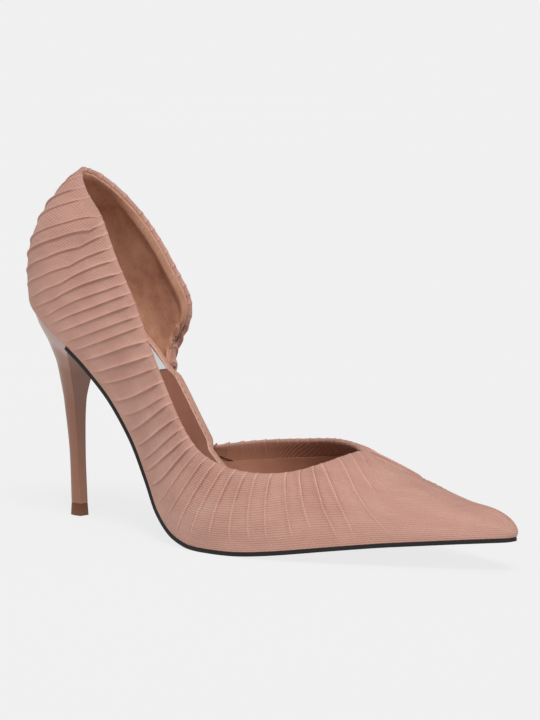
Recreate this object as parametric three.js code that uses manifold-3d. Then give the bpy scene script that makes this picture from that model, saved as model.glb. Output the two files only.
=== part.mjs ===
// A pointed half-d'Orsay pump with a stiletto heel, as an assembly of its real pieces.
// Millimetres. X runs from the heel to the toe, Y to the inner (open) side, Z up.
// While it is built, the middle of the heel tip stands at x = 0, y = 0, z = 0.
import * as THREE from 'three';
import { mergeVertices } from 'three/addons/utils/BufferGeometryUtils.js';
import Module from 'manifold-3d';

const wasm = await Module();
wasm.setup();

// Driving sizes
const shoeLength = 240.5;      // back of the seat to the tip of the toe, along X
const ballWidth = 74.3;        // widest breadth of the outline
const seatRise = 90.5;         // back of the heel seat above the ground
const gap = 0.3;               // clearance between pieces that lie on each other

// Thicknesses of the sole's layers, from the ground up
const outsoleThickness = 1.6;
const shankBoardThickness = 1.7;
const insoleBoardThickness = 1.4;
const foamThickness = 0.9;
const sockThickness = 0.8;
const labelThickness = 0.4;

// Thicknesses of the upper's layers, from the outside in
const pleatedThickness = 0.6;
const baseThickness = 0.5;
const stiffenerThickness = 0.6;
const liningThickness = 0.6;

// Heel, its tip and its reinforcement
const topPieceHeight = 4.7;
const topPieceDepth = 6.4;     // along X
const topPieceWidth = 4.8;     // along Y
const topPieceFlare = 0.25;    // the tread of the top piece stands out by this all round
const seatMargin = 0.6;        // the heel's seat stays inside the sole's edge by this
const breastStation = 12.6;    // where the heel's front face meets the sole
const tubeRadius = 1.2;
const tubeWall = 0.45;
const tubeShort = 27;          // the tube ends this far under the seat
const dowelLength = 14;

// Fasteners
const nailRadius = 0.8;
const nailHeadRadius = 1.8;
const nailLength = 11;
const screwRadius = 1.8;
const screwHeadRadius = 3.4;
const screwLength = 19;
const headHeight = 0.8;

// Shank
const shankLength = 88;
const shankWidth = 9;
const shankThickness = 1.1;
const shankStart = -4;         // station of the shank's rear end
const rivetRadius = 1.3;

// Sock and edge trim
const rimWidth = 3.0;          // wrap of the open waist's edge
const outsoleMargin = 0.5;     // the outsole's edge stands out from the upper by this
const labelLength = 13;
const labelWidth = 27;

// The outline and the toplines are drawn for this last, and follow the driving sizes
const drawnLength = 240.5;
const drawnWidth = 74.3;
const drawnRise = 90.5;
const along = shoeLength / drawnLength;
const across = ballWidth / drawnWidth;
const rise = seatRise / drawnRise;

// Underside of the sole, seen from the side: a straight seat, a steep waist,
// a flat tread at the ball and a toe that springs up
const treadStart = 92 * along;
const treadEnd = 118 * along;
const profilePoints = [
  [-23, 91.7], [-12, 85.3], [0, 78.3], [12, 71.3], [23, 63], [34, 51.6], [45, 37.2],
  [56, 22.8], [67, 11.6], [79, 4], [92, 0], [105, 0], [118, 0], [135, 2], [155, 4.8],
  [175, 7.4], [195, 9.4], [210, 10.7], [221, 11.6],
];
const profile = new THREE.SplineCurve(
  profilePoints.map(([x, z]) => new THREE.Vector2(x * along, z * rise)),
);
const profileSamples = profile.getPoints(900);

// Height and upward direction of the sole's underside at a station
function soleAt(x) {
  let low = 0;
  let high = profileSamples.length - 1;
  while (high - low > 1) {
    const middle = (low + high) >> 1;
    if (profileSamples[middle].x > x) high = middle;
    else low = middle;
  }
  const a = profileSamples[low];
  const b = profileSamples[high];
  const share = (x - a.x) / (b.x - a.x);
  const onTread = x >= treadStart && x <= treadEnd;
  const z = onTread ? 0 : Math.max(0, a.y + (b.y - a.y) * share);
  const reach = 6;
  const before = profileSamples[Math.max(0, low - reach)];
  const after = profileSamples[Math.min(profileSamples.length - 1, high + reach)];
  const slope = (after.y - before.y) / (after.x - before.x);
  const length = Math.hypot(1, slope);
  return { z, normal: new THREE.Vector3(-slope / length, 0, 1 / length), slope };
}

// A point at a station, a breadth and a height above the sole's underside
function onSole(x, y, height) {
  const { z, normal } = soleAt(x);
  return new THREE.Vector3(x, y, z).addScaledVector(normal, height);
}

// Heights of the layers above the underside
const feather = outsoleThickness + gap;
const boardBottom = feather;
const boardTop = boardBottom + shankBoardThickness;
const insoleBottom = boardTop + gap;
const insoleTop = insoleBottom + insoleBoardThickness;
const foamBottom = insoleTop + gap;
const foamTop = foamBottom + foamThickness;
const sockBottom = foamTop + gap;
const sockTop = sockBottom + sockThickness;

// Depths of the upper's layers below its outer face
const baseOutside = pleatedThickness + gap;
const baseInside = baseOutside + baseThickness;
const stiffenerOutside = baseInside + gap;
const stiffenerInside = stiffenerOutside + stiffenerThickness;
const liningOutside = stiffenerInside + gap;
const liningInside = liningOutside + liningThickness;
const boardInset = liningInside + gap;

// Ribs of the upper: where the rib starts on the sole's edge (station, breadth), where it
// ends on the topline or on the ridge of the vamp (x, y, z), and how far the rib bends
// over at its top, from 0 for an upright side to 1 for the crown of the vamp
const sideRibs = [
  [-21.3, 0, 3, 0, 143, 0], [-19, -9.5, 6.5, -5.2, 140.5, 0],
  [-11, -16.8, 14.5, -10.3, 133.5, 0], [1, -20.5, 25.9, -14.5, 124.1, 0],
  [13, -21.5, 37.5, -18, 107.8, 0], [24, -20.8, 49.7, -20.5, 90.9, 0],
  [35, -19, 60, -22, 72.3, 0], [46, -18.8, 70.5, -24.2, 56.5, 0],
  [57, -22.2, 80, -26.6, 45.6, 0], [69, -28.5, 89, -28.7, 38.6, 0],
  [82, -34, 98, -30.8, 35.2, 0], [97, -37.3, 108, -31.9, 33, 0.05],
  [113, -38, 119, -31.3, 31.9, 0.1], [129, -36, 129.5, -28.8, 32.2, 0.2],
  [144, -31.8, 138, -24.4, 33.7, 0.4], [157, -27, 145, -16.5, 36.8, 0.65],
  [167, -23, 148.5, -8, 39.2, 0.85], [174, -20, 149.5, -1, 39.8, 1],
];
const wingRibs = [
  [51, 18.6, 55.2, 19, 31.5, 0], [57, 19.6, 61, 21.6, 32.4, 0],
  [65, 22, 68.5, 25.6, 33.6, 0], [75, 26, 77, 28.3, 34.8, 0],
  [87, 31, 87, 29.4, 36, 0.05], [101, 34.8, 97.5, 28.6, 37.2, 0.1],
  [117, 36.3, 108.5, 26.2, 38.6, 0.2], [132, 35.9, 119, 21.6, 39.8, 0.35],
  [146, 33.6, 129, 16.2, 40.4, 0.5], [158, 30.4, 138, 10.2, 40.6, 0.7],
  [167, 27.6, 145, 4, 40.4, 0.85], [174, 25.2, 149.5, -1, 39.8, 1],
];
const earRibs = [
  [-21.3, 0, 3, 0, 143, 0], [-19, 9.5, 7, 5.5, 140.4, 0],
  [-11, 16.8, 14, 11, 133.4, 0], [-2, 20, 22.5, 14.6, 124, 0],
  [6, 21, 30.5, 17.4, 112.8, 0], [13, 21.4, 37, 19.4, 101.6, 0],
  [18.5, 21.3, 42, 20.6, 93, 0], [22, 21.1, 43.6, 21, 86.5, 0],
  [24.5, 20.9, 42.3, 21, 80.4, 0], [26.5, 20.7, 38.6, 20.8, 75, 0],
  [29, 20.3, 35.4, 20.5, 69.8, 0], [32, 20, 35.2, 20.2, 62, 0],
];
// Crown of the vamp from the throat to the toe, with the sole's edge on both sides:
// outer station and breadth, inner station and breadth, ridge x, y, z
const crown = [
  [174, -20, 174, 25.2, 149.5, -1, 39.8], [182, -16.8, 182, 22.4, 157, 2.5, 35.4],
  [190, -13.2, 190, 19.4, 169, 5, 31.2], [198, -9.2, 198, 16.4, 182, 6, 27.4],
  [206, -5, 206, 13, 195, 6.2, 24.4], [213, -0.8, 213, 9.4, 206, 5.8, 22.2],
  [217.5, 2, 217.5, 6.8, 213, 5.3, 20.2], [219.2, 4.6, 219.2, 4.6, 216.8, 4.9, 17.6],
];

function spline(points) {
  return new THREE.CatmullRomCurve3(points, false, 'catmullrom', 0.5);
}

// The end of a rib, which keeps its drawn height above the sole at the rib's foot
function topPoint(footX, x, y, z) {
  const lift = soleAt(footX * along).z * (1 - 1 / rise);
  return new THREE.Vector3(x * along, y * across, z + lift);
}

// A family of ribs: curves along their feet, their tops and their bend
function ribFamily(ribs, crownFeet) {
  const feet = ribs.map((rib) => new THREE.Vector3(rib[0] * along, rib[1] * across, rib[5]));
  const extra = crownFeet.map(([x, y]) => new THREE.Vector3(x * along, y * across, 1));
  const tops = ribs.map((rib) => topPoint(rib[0], rib[2], rib[3], rib[4]));
  return {
    foot: spline([...feet, ...extra]),
    top: spline(tops),
    openCount: ribs.length - 1,
    count: ribs.length - 1 + crownFeet.length,
  };
}
const ridge = spline(
  crown.map((row) => topPoint(row[0], row[4], row[5], row[6])),
);
const side = ribFamily(sideRibs, crown.slice(1).map((row) => [row[0], row[1]]));
const wing = ribFamily(wingRibs, crown.slice(1).map((row) => [row[2], row[3]]));
const ear = ribFamily(earRibs, []);

// The heel cup is fuller than the sides: its ribs bulge by these further shares of their
// height, low and high on the rib, and turn backward within cupBreadth of the middle
const cupReach = 20;           // behind station 0, the fullness grows over this length
const cupBreadth = 20;
const cupLow = 0.1;
const cupHigh = 0.2;

// A point of the upper's outer face: rib number along the family, share from foot to top
function onUpper(family, rib, share) {
  const footValue = family.foot.getPoint(rib / family.count);
  const bend = Math.min(1, Math.max(0, footValue.z));
  const foot = onSole(footValue.x, footValue.y, feather);
  const beyond = rib - family.openCount;
  const onCrown = beyond > 0;
  const crownShare = beyond / (crown.length - 1);
  const top = onCrown ? ridge.getPoint(crownShare) : family.top.getPoint(rib / family.openCount);
  const height = top.distanceTo(foot);
  const { normal } = soleAt(footValue.x);
  const outward = new THREE.Vector3(0, Math.sign(footValue.y - top.y * 0.5) || 0, 0);
  const backness = Math.max(0, 1 - Math.abs(footValue.y) / (cupBreadth * across));
  const fullness = Math.min(1, Math.max(0, -footValue.x / (cupReach * along)));
  if (footValue.x < 0) outward.set(-backness, outward.y * (1 - backness), 0).normalize();
  const upward = normal.clone().lerp(new THREE.Vector3(0, 0, 1), bend);
  const lower = foot.clone().addScaledVector(upward, height * (0.3 + 0.02 * bend))
    .addScaledVector(outward, height * (0.06 - 0.02 * bend + cupLow * fullness));
  const tangent = ridge.getTangent(Math.min(1, Math.max(0, crownShare)));
  const dx = foot.x - top.x;
  const dy = foot.y - top.y;
  const slope = tangent.z / Math.max(0.3, tangent.x);
  const level = new THREE.Vector3(dx, dy, slope * dx).multiplyScalar(0.55);
  const upright = foot.clone().sub(top).multiplyScalar(0.33)
    .addScaledVector(outward, height * (0.07 + cupHigh * fullness));
  const upper = top.clone().add(upright.lerp(level, bend));
  return new THREE.CubicBezierCurve3(foot, lower, upper, top).getPoint(share);
}

// The upper's face as one net of points; the pieces are windows of this net, so that
// their layers stay parallel. A narrow seam column parts pieces that meet end to end.
const rowShares = [0, 0.25, 0.5, 0.75, 0.93, 1];
const rows = rowShares.length - 1;
const seam = 0.06;             // of a rib's spacing, on each side of the back seam
const baseSeam = 0.16;         // the same under the pleats, where the curve is tighter
function marks(count, perRib, seams = []) {
  const list = [];
  for (let k = 0; k <= count * perRib; k += 1) list.push(k / perRib);
  for (const at of seams) list.push(at);
  return list.sort((a, b) => a - b);
}
const crownMarks = marks(crown.length - 1, 1.0).slice(1);
const lap = 8;                 // rib at which the quarter's lining meets the vamp's
const families = {
  side: { ...side, marks: marks(side.openCount, 2, [seam, baseSeam, lap + seam]) },
  wing: { ...wing, marks: marks(wing.openCount, 2) },
  ear: { ...ear, marks: marks(ear.openCount, 2, [seam, baseSeam]) },
};
for (const name of ['side', 'wing']) {
  const family = families[name];
  family.marks.push(...crownMarks.map((mark) => family.openCount + mark));
}

const net = { ids: new Map(), points: [], grid: {} };
for (const [name, family] of Object.entries(families)) {
  net.grid[name] = family.marks.map((mark) => {
    const column = [];
    for (let row = 0; row <= rows; row += 1) {
      const point = onUpper(family, mark, rowShares[row]);
      const key = point.toArray().map((value) => Math.round(value * 1000)).join(' ');
      if (!net.ids.has(key)) {
        net.ids.set(key, net.points.length);
        net.points.push(point);
      }
      column.push(net.ids.get(key));
    }
    return column;
  });
}

// The two triangles of a cell of the net, facing out
function cellTriangles(name, column, row) {
  const grid = net.grid[name];
  const a = grid[column][row];
  const b = grid[column + 1][row];
  const c = grid[column + 1][row + 1];
  const d = grid[column][row + 1];
  const list = name === 'side' ? [[a, b, c], [a, c, d]] : [[a, c, b], [a, d, c]];
  return list.filter((t) => t[0] !== t[1] && t[1] !== t[2] && t[0] !== t[2]);
}

// Directions out of the face at every point of the net
const netNormals = net.points.map(() => new THREE.Vector3());
for (const [name, family] of Object.entries(families)) {
  for (let column = 0; column < family.marks.length - 1; column += 1) {
    for (let row = 0; row < rows; row += 1) {
      for (const triangle of cellTriangles(name, column, row)) {
        const [a, b, c] = triangle.map((id) => net.points[id]);
        const area = b.clone().sub(a).cross(c.clone().sub(a));
        triangle.forEach((id) => netNormals[id].add(area));
      }
    }
  }
}
// Beside the back seam the layers shift straight back, so that their ends stay apart
for (const name of ['side', 'ear']) {
  families[name].marks.filter((mark) => mark <= baseSeam).forEach((mark, column) => {
    net.grid[name][column].forEach((id) => netNormals[id].setY(0));
  });
}
// At the sole's edge the layers lie side by side on the sole, so they shift along it
for (const [name, family] of Object.entries(families)) {
  family.marks.forEach((mark, column) => {
    const { normal } = soleAt(family.foot.getPoint(mark / family.count).x);
    const direction = netNormals[net.grid[name][column][0]];
    direction.addScaledVector(normal, -direction.dot(normal));
  });
}
netNormals.forEach((normal) => normal.normalize());

// A closed body between two copies of a triangulated face
function closedBody(outerPoints, innerPoints, triangles) {
  const half = outerPoints.length;
  const edges = new Map();
  for (const [a, b, c] of triangles) {
    for (const [from, to] of [[a, b], [b, c], [c, a]]) {
      if (edges.has(`${to} ${from}`)) edges.delete(`${to} ${from}`);
      else edges.set(`${from} ${to}`, [from, to]);
    }
  }
  const index = triangles.flatMap(([a, b, c]) => [a, b, c, half + a, half + c, half + b]);
  for (const [from, to] of edges.values()) {
    index.push(from, half + from, to, to, half + from, half + to);
  }
  const positions = [...outerPoints, ...innerPoints].flatMap((point) => point.toArray());
  const geometry = new THREE.BufferGeometry();
  geometry.setAttribute('position', new THREE.Float32BufferAttribute(positions, 3));
  geometry.setIndex(index);
  return tidy(geometry);
}

// Six times the volume inside a triangulated surface, below zero where it faces in
function signedVolume(geometry, index) {
  const corner = (k) => new THREE.Vector3().fromBufferAttribute(geometry.attributes.position, index[k]);
  let sum = 0;
  for (let k = 0; k < index.length; k += 3) {
    sum += corner(k).dot(corner(k + 1).cross(corner(k + 2)));
  }
  return sum;
}

// Shared corners merged, empty triangles left out, and all faces turned outward
function tidy(source) {
  const plain = source.clone();
  plain.deleteAttribute('normal');
  plain.deleteAttribute('uv');
  const merged = mergeVertices(plain, 1e-4);
  const old = merged.index.array;
  const kept = [];
  for (let k = 0; k < old.length; k += 3) {
    const [a, b, c] = [old[k], old[k + 1], old[k + 2]];
    if (a !== b && b !== c && a !== c) kept.push(a, b, c);
  }
  if (signedVolume(merged, kept) < 0) kept.reverse();
  merged.setIndex(kept);
  return merged;
}

// A layer of the upper: windows of the net, [family, first rib, last rib, low row, high row],
// between two depths below the outer face
function layer(windows, outside, inside) {
  const triangles = [];
  const used = new Map();
  for (const [name, first, last, low, high] of windows) {
    const { marks: list } = families[name];
    for (let column = 0; column < list.length - 1; column += 1) {
      const inWindow = list[column] >= first - 1e-6 && list[column + 1] <= last + 1e-6;
      for (let row = low; inWindow && row < high; row += 1) {
        for (const triangle of cellTriangles(name, column, row)) {
          triangles.push(triangle.map((id) => {
            if (!used.has(id)) used.set(id, used.size);
            return used.get(id);
          }));
        }
      }
    }
  }
  const ids = [...used.keys()];
  const shifted = (depth) => ids.map(
    (id) => net.points[id].clone().addScaledVector(netNormals[id], -depth),
  );
  return closedBody(shifted(outside), shifted(inside), triangles);
}

// The sole's outline as a closed run of points, outer side first
const outline = (() => {
  const steps = 240;
  const points = [];
  const flat = (curve, share) => {
    const point = curve.getPoint(share);
    return new THREE.Vector2(point.x, point.y);
  };
  const inner = spline([
    ...earRibs.slice(0, 9).map((rib) => new THREE.Vector3(rib[0] * along, rib[1] * across, 0)),
    new THREE.Vector3(38 * along, 19.4 * across, 0),
    ...wingRibs.map((rib) => new THREE.Vector3(rib[0] * along, rib[1] * across, 0)),
    ...crown.slice(1).map((row) => new THREE.Vector3(row[2] * along, row[3] * across, 0)),
  ]);
  for (let k = 0; k < steps; k += 1) points.push(flat(side.foot, k / steps));
  for (let k = steps; k > 0; k -= 1) points.push(flat(inner, k / steps));
  return points;
})();

// The outline moved in (or out, below zero), as its breadths on both sides of each station
function edges(inset) {
  const count = outline.length;
  const moved = [];
  for (let k = 0; k < count; k += 1) {
    const before = outline[(k + count - 1) % count];
    const after = outline[(k + 1) % count];
    const direction = after.clone().sub(before).normalize();
    const point = outline[k].clone().add(
      new THREE.Vector2(-direction.y, direction.x).multiplyScalar(inset),
    );
    const clear = outline.every((other) => other.distanceTo(point) > Math.abs(inset) - 0.02);
    if (clear) moved.push(point);
  }
  const least = moved.reduce((a, b) => (b.x < a.x ? b : a));
  const most = moved.reduce((a, b) => (b.x > a.x ? b : a));
  const start = moved.indexOf(least);
  const ordered = [...moved.slice(start), ...moved.slice(0, start)];
  const turn = ordered.indexOf(most);
  const outer = ordered.slice(0, turn + 1);
  const inner = [...ordered.slice(turn), ordered[0]].reverse();
  const breadth = (run, x) => {
    for (let k = 1; k < run.length; k += 1) {
      if (run[k].x >= x) {
        const share = (x - run[k - 1].x) / Math.max(1e-9, run[k].x - run[k - 1].x);
        return run[k - 1].y + (run[k].y - run[k - 1].y) * Math.min(1, Math.max(0, share));
      }
    }
    return run[run.length - 1].y;
  };
  return {
    from: least.x,
    to: most.x,
    outer: (x) => breadth(outer, x),
    inner: (x) => breadth(inner, x),
  };
}

// All layers of the sole share one row of stations, closer together towards round ends
const stationStep = 5.5;
const endSteps = [0, 0.25, 1, 2.3, 4.2];
function stations(from, to) {
  const list = [...endSteps.map((step) => from + step), ...endSteps.map((step) => to - step)];
  const first = Math.ceil((from + endSteps.at(-1) + 1) / stationStep);
  for (let k = first; k * stationStep < to - endSteps.at(-1) - 1; k += 1) {
    list.push(k * stationStep);
  }
  return list.sort((a, b) => a - b);
}

// A layer of the sole between two stations, two breadths and two heights; towards the toe
// it can draw in by a share of the way past toeStation
const toeStation = 150 * along;
function slab({ from, to, outer, inner, low, high, strips = 2, drawIn = 0 }) {
  const bottom = [];
  const top = [];
  const triangles = [];
  const list = stations(from, to);
  const steps = list.length - 1;
  for (const x of list) {
    const moved = drawIn * Math.max(0, x - toeStation);
    const near = outer(x) + moved;
    const far = inner(x) - moved;
    for (let j = 0; j <= strips; j += 1) {
      const y = near + (far - near) * (j / strips);
      bottom.push(onSole(x, y, low));
      top.push(onSole(x, y, high));
    }
  }
  for (let k = 0; k < steps; k += 1) {
    for (let j = 0; j < strips; j += 1) {
      const a = k * (strips + 1) + j;
      const b = a + strips + 1;
      triangles.push([a, b, b + 1], [a, b + 1, a + 1]);
    }
  }
  return closedBody(top, bottom, triangles);
}

// Solids for cutting
function solid(geometry) {
  return new wasm.Manifold(new wasm.Mesh({
    numProp: 3,
    vertProperties: new Float32Array(geometry.attributes.position.array),
    triVerts: new Uint32Array(geometry.index.array),
  }));
}
function cut(geometry, tools) {
  const left = tools.reduce((body, tool) => body.subtract(solid(tool)), solid(geometry));
  const mesh = left.getMesh();
  const result = new THREE.BufferGeometry();
  result.setAttribute('position', new THREE.Float32BufferAttribute(mesh.vertProperties, 3));
  result.setIndex(new THREE.Uint32BufferAttribute(mesh.triVerts, 1));
  return result;
}

// A round piece turned about the local Z axis from a closed profile of [radius, height]
function turned(profileRows, sides = 10) {
  const points = profileRows.map(([radius, height]) => new THREE.Vector2(radius, height));
  return tidy(new THREE.LatheGeometry(points, sides).rotateX(Math.PI / 2));
}
// A fastener with its head up at height 0, and the hole it needs
function fastener(radius, headRadius, length, clearance = 0) {
  const top = clearance;
  const headBottom = -headHeight - clearance;
  return turned([
    [0, top], [headRadius + clearance, top], [headRadius + clearance, headBottom],
    [radius + clearance, headBottom], [radius + clearance, -length - clearance],
    [0, -length - clearance],
  ]);
}
// Stands a piece on the sole at a station and a breadth, square to the sole there
function stoodOnSole(geometry, x, y, height) {
  const { normal } = soleAt(x);
  const turn = new THREE.Quaternion().setFromUnitVectors(new THREE.Vector3(0, 0, 1), normal);
  const place = onSole(x, y, height);
  return geometry.clone().applyQuaternion(turn).translate(place.x, place.y, place.z);
}

const object = new THREE.Group();
function add(name, geometry, color, roughness, metalness = 0) {
  const material = new THREE.MeshStandardMaterial({ color, roughness, metalness });
  const mesh = new THREE.Mesh(geometry, material);
  mesh.name = name;
  object.add(mesh);
  return mesh;
}

// ---- Heel: D-shaped sections from the tip to the seat
// share of the way up, x of the back, x of the breast, half width, roundness of the D
const tipBack = -topPieceDepth * 0.6;
const tipFront = topPieceDepth * 0.4;
const tipHalf = topPieceWidth / 2 - topPieceFlare;
const seat = edges(seatMargin);
const heelSections = [
  [0, tipBack, tipFront, tipHalf, 3],
  [0.3, -4.8, 1.5, tipHalf + 0.15, 3],
  [0.58, -7.4, 1, tipHalf + 1.4, 2.9],
  [0.76, -9.4, 2, tipHalf + 4.6, 2.7],
  [0.87, -11.9, 4.5, tipHalf + 8.3, 2.6],
  [0.95, -15.6, 8.3, tipHalf + 12.9, 2.5],
];
const heelBottom = topPieceHeight + gap;
const heelSides = 20;
function heelRing(back, front, half, power, place) {
  const ring = [];
  for (let k = 0; k <= heelSides; k += 1) {
    const angle = -Math.PI / 2 + (Math.PI * k) / heelSides;
    const reach = Math.abs(Math.cos(angle)) ** (2 / power);
    const spread = Math.abs(Math.sin(angle)) ** (2 / power) * Math.sign(Math.sin(angle));
    ring.push(place(front - (front - back) * reach, half * spread));
  }
  return ring;
}
function heelGeometry() {
  const rings = heelSections.map(([share, back, front, half, power]) => {
    const tilt = Math.max(0, share - 0.5) * 2;
    const middle = (back + front) / 2;
    const slope = soleAt(0).slope * tilt;
    const level = heelBottom + (soleAt(-2).z - heelBottom) * share;
    return heelRing(back * along, front * along, half * (share < 0.5 ? 1 : across), power,
      (x, y) => new THREE.Vector3(x, y, level + (x - middle) * slope));
  });
  const crownRing = [];
  const run = breastStation * along - seat.from;
  for (let k = 0; k <= heelSides; k += 1) {
    const angle = -Math.PI / 2 + (Math.PI * k) / heelSides;
    const x = breastStation * along - run * Math.abs(Math.cos(angle)) ** 0.8;
    const y = angle < 0 ? seat.outer(x) : seat.inner(x);
    crownRing.push(onSole(x, k === heelSides / 2 ? 0 : y, outsoleThickness));
  }
  rings.push(crownRing);
  const size = heelSides + 1;
  const points = rings.flat();
  const index = [];
  for (let r = 0; r < rings.length - 1; r += 1) {
    for (let k = 0; k < size; k += 1) {
      const a = r * size + k;
      const b = r * size + ((k + 1) % size);
      index.push(a, a + size, b, b, a + size, b + size);
    }
  }
  const last = (rings.length - 1) * size;
  for (let k = 0; k < heelSides / 2; k += 1) {
    const far = heelSides - k;
    index.push(k, k + 1, far, last + k, last + far, last + k + 1);
    if (k + 1 < far - 1) index.push(k + 1, far - 1, far, last + k + 1, last + far, last + far - 1);
  }
  const geometry = new THREE.BufferGeometry();
  geometry.setAttribute(
    'position',
    new THREE.Float32BufferAttribute(points.flatMap((point) => point.toArray()), 3),
  );
  geometry.setIndex(index);
  return tidy(geometry);
}

// The steel tube leans back with the stem
const tubeLean = Math.atan2(2.4, 45);
const tubeLength = soleAt(tipBack).z - heelBottom - tubeShort;
function alongStem(geometry, start) {
  const foot = new THREE.Vector3(tipFront * 0.5 + tipBack * 0.5, 0, heelBottom);
  return geometry.clone().translate(0, 0, start).rotateY(-tubeLean).translate(foot.x, 0, foot.z);
}
const tubeBore = turned([
  [0, -4], [tubeRadius + gap, -4], [tubeRadius + gap, tubeLength + 2 * gap],
  [0, tubeLength + 2 * gap],
]);
const tube = turned([
  [tubeRadius - tubeWall, 0], [tubeRadius, 0], [tubeRadius, tubeLength],
  [tubeRadius - tubeWall, tubeLength], [tubeRadius - tubeWall, 0],
]);
const dowelRadius = tubeRadius - tubeWall - gap;
const dowelSunk = topPieceHeight * 0.6;
const dowel = turned([[0, 0], [dowelRadius, 0], [dowelRadius, dowelLength], [0, dowelLength]]);
const dowelHole = turned([
  [0, -gap], [dowelRadius + gap, -gap], [dowelRadius + gap, dowelLength], [0, dowelLength],
]);

// Places of the heel's fasteners: station and breadth
const nailPlaces = [[-12, -5.5], [-12, 5.5], [-3, -7.5], [-3, 7.5]]
  .map(([x, y]) => [x * along, y * across]);
const screwPlace = [4 * along, 0];
const headTop = insoleTop;
const nail = fastener(nailRadius, nailHeadRadius, nailLength);
const nailHole = fastener(nailRadius, nailHeadRadius, nailLength, gap);
const screw = fastener(screwRadius, screwHeadRadius, screwLength);
const screwHole = fastener(screwRadius, screwHeadRadius, screwLength, gap);
const heelHoles = [
  ...nailPlaces.map(([x, y]) => stoodOnSole(nailHole, x, y, headTop)),
  stoodOnSole(screwHole, screwPlace[0], screwPlace[1], headTop),
];

const heelColor = 0x8d5a4a;
const heelBody = cut(heelGeometry(), [alongStem(tubeBore, 0), ...heelHoles]);
add('heel_body', heelBody, heelColor, 0.2);
add('heel_tube', alongStem(tube, gap), 0x9a9a9a, 0.35, 1);

// Top piece: a D-shaped block, a little larger at its tread
function topPieceGeometry() {
  const rings = [0, topPieceHeight].map((z, k) => heelRing(
    tipBack - topPieceFlare * (1 - k),
    tipFront + topPieceFlare * (1 - k),
    tipHalf + topPieceFlare * (1 - k),
    2,
    (x, y) => new THREE.Vector3(x, y, z),
  ));
  const middle = new THREE.Vector3((tipBack + tipFront) / 2, 0, 0);
  const size = heelSides + 1;
  const points = [...rings.flat(), middle, middle.clone().setZ(topPieceHeight)];
  const index = [];
  for (let k = 0; k < size; k += 1) {
    const next = (k + 1) % size;
    index.push(k, k + size, next, next, k + size, next + size);
    index.push(k, next, 2 * size, k + size, 2 * size + 1, next + size);
  }
  const geometry = new THREE.BufferGeometry();
  geometry.setAttribute(
    'position',
    new THREE.Float32BufferAttribute(points.flatMap((point) => point.toArray()), 3),
  );
  geometry.setIndex(index);
  return tidy(geometry);
}
add('top_piece', cut(topPieceGeometry(), [alongStem(dowelHole, -dowelSunk)]), 0x4a2e28, 0.5);
add('top_piece_dowel', alongStem(dowel, -dowelSunk + 0.02), 0x9a9a9a, 0.35, 1);

nailPlaces.forEach(([x, y], k) => {
  add(`heel_nail_${k + 1}`, stoodOnSole(nail, x, y, headTop), 0x8a8a8a, 0.4, 1);
});
add('heel_screw', stoodOnSole(screw, screwPlace[0], screwPlace[1], headTop), 0x8a8a8a, 0.4, 1);

// ---- Sole
const outsoleEdges = edges(-outsoleMargin);
const boardEdges = edges(boardInset);
const sockEdges = edges(boardInset + 0.2);
const filledFrom = 98 * along;  // the filler of the forepart starts here

// The outsole ends at the heel's breast, and the heel sits on the upper's lasted edge
add('outsole', slab({
  ...outsoleEdges, from: breastStation * along + gap, low: 0, high: outsoleThickness,
}), 0x16130f, 0.55);

// The shank board stiffens the heel and the waist, with a slot for the steel shank
const shankEnd = shankStart * along + shankLength;
const rivetStations = [16 * along, shankEnd - 8];
const shankBoard = slab({
  ...boardEdges, to: filledFrom - gap, low: boardBottom, high: boardTop,
});
const slot = slab({
  from: shankStart * along - gap,
  to: shankEnd + gap,
  outer: () => -shankWidth / 2 - gap,
  inner: () => shankWidth / 2 + gap,
  low: boardBottom - 1,
  high: boardBottom + shankThickness + gap,
});
const shank = slab({
  from: shankStart * along,
  to: shankEnd,
  outer: () => -shankWidth / 2,
  inner: () => shankWidth / 2,
  low: boardBottom,
  high: boardBottom + shankThickness,
});
const rivet = fastener(rivetRadius, rivetRadius + 0.9, shankBoardThickness);
const rivetHole = fastener(rivetRadius, rivetRadius + 0.9, shankBoardThickness, gap);
const rivetHoles = rivetStations.map((x) => stoodOnSole(rivetHole, x, 0, boardTop));
add('shank_board', cut(shankBoard, [slot, ...heelHoles, ...rivetHoles]), 0x8a6f52, 0.9);
add('steel_shank', cut(shank, [...rivetHoles, heelHoles[4]]), 0xa8a8a8, 0.3, 1);
rivetStations.forEach((x, k) => {
  add(`shank_rivet_${k + 1}`, stoodOnSole(rivet, x, 0, boardTop), 0xb0b0b0, 0.35, 1);
});

const toeShort = 6 * along;    // the inner layers of the sole end this far before the toe
add('forepart_filler', slab({
  ...boardEdges, from: filledFrom, to: boardEdges.to - toeShort,
  low: boardBottom, high: boardTop,
}), 0xa07a4d, 0.95);
const insoleBoard = slab({
  ...boardEdges, to: boardEdges.to - toeShort, low: insoleBottom, high: insoleTop, drawIn: 0.02,
});
add('insole_board', cut(insoleBoard, heelHoles), 0x9b7a5b, 0.9);
add('footbed_foam', slab({
  ...sockEdges, to: sockEdges.to - 2 * toeShort, low: foamBottom, high: foamTop, drawIn: 0.04,
}), 0xe8dcc0, 0.95);
add('sock_lining', slab({
  ...sockEdges, to: sockEdges.to - 3 * toeShort, low: sockBottom, high: sockTop, drawIn: 0.06,
}), 0xa8674d, 0.5);
const labelStart = 17 * along;
add('sock_label', slab({
  from: labelStart,
  to: labelStart + labelLength,
  outer: () => -labelWidth / 2,
  inner: () => labelWidth / 2,
  low: sockTop + gap,
  high: sockTop + gap + labelThickness,
}), 0xd9b79c, 0.5);

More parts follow.
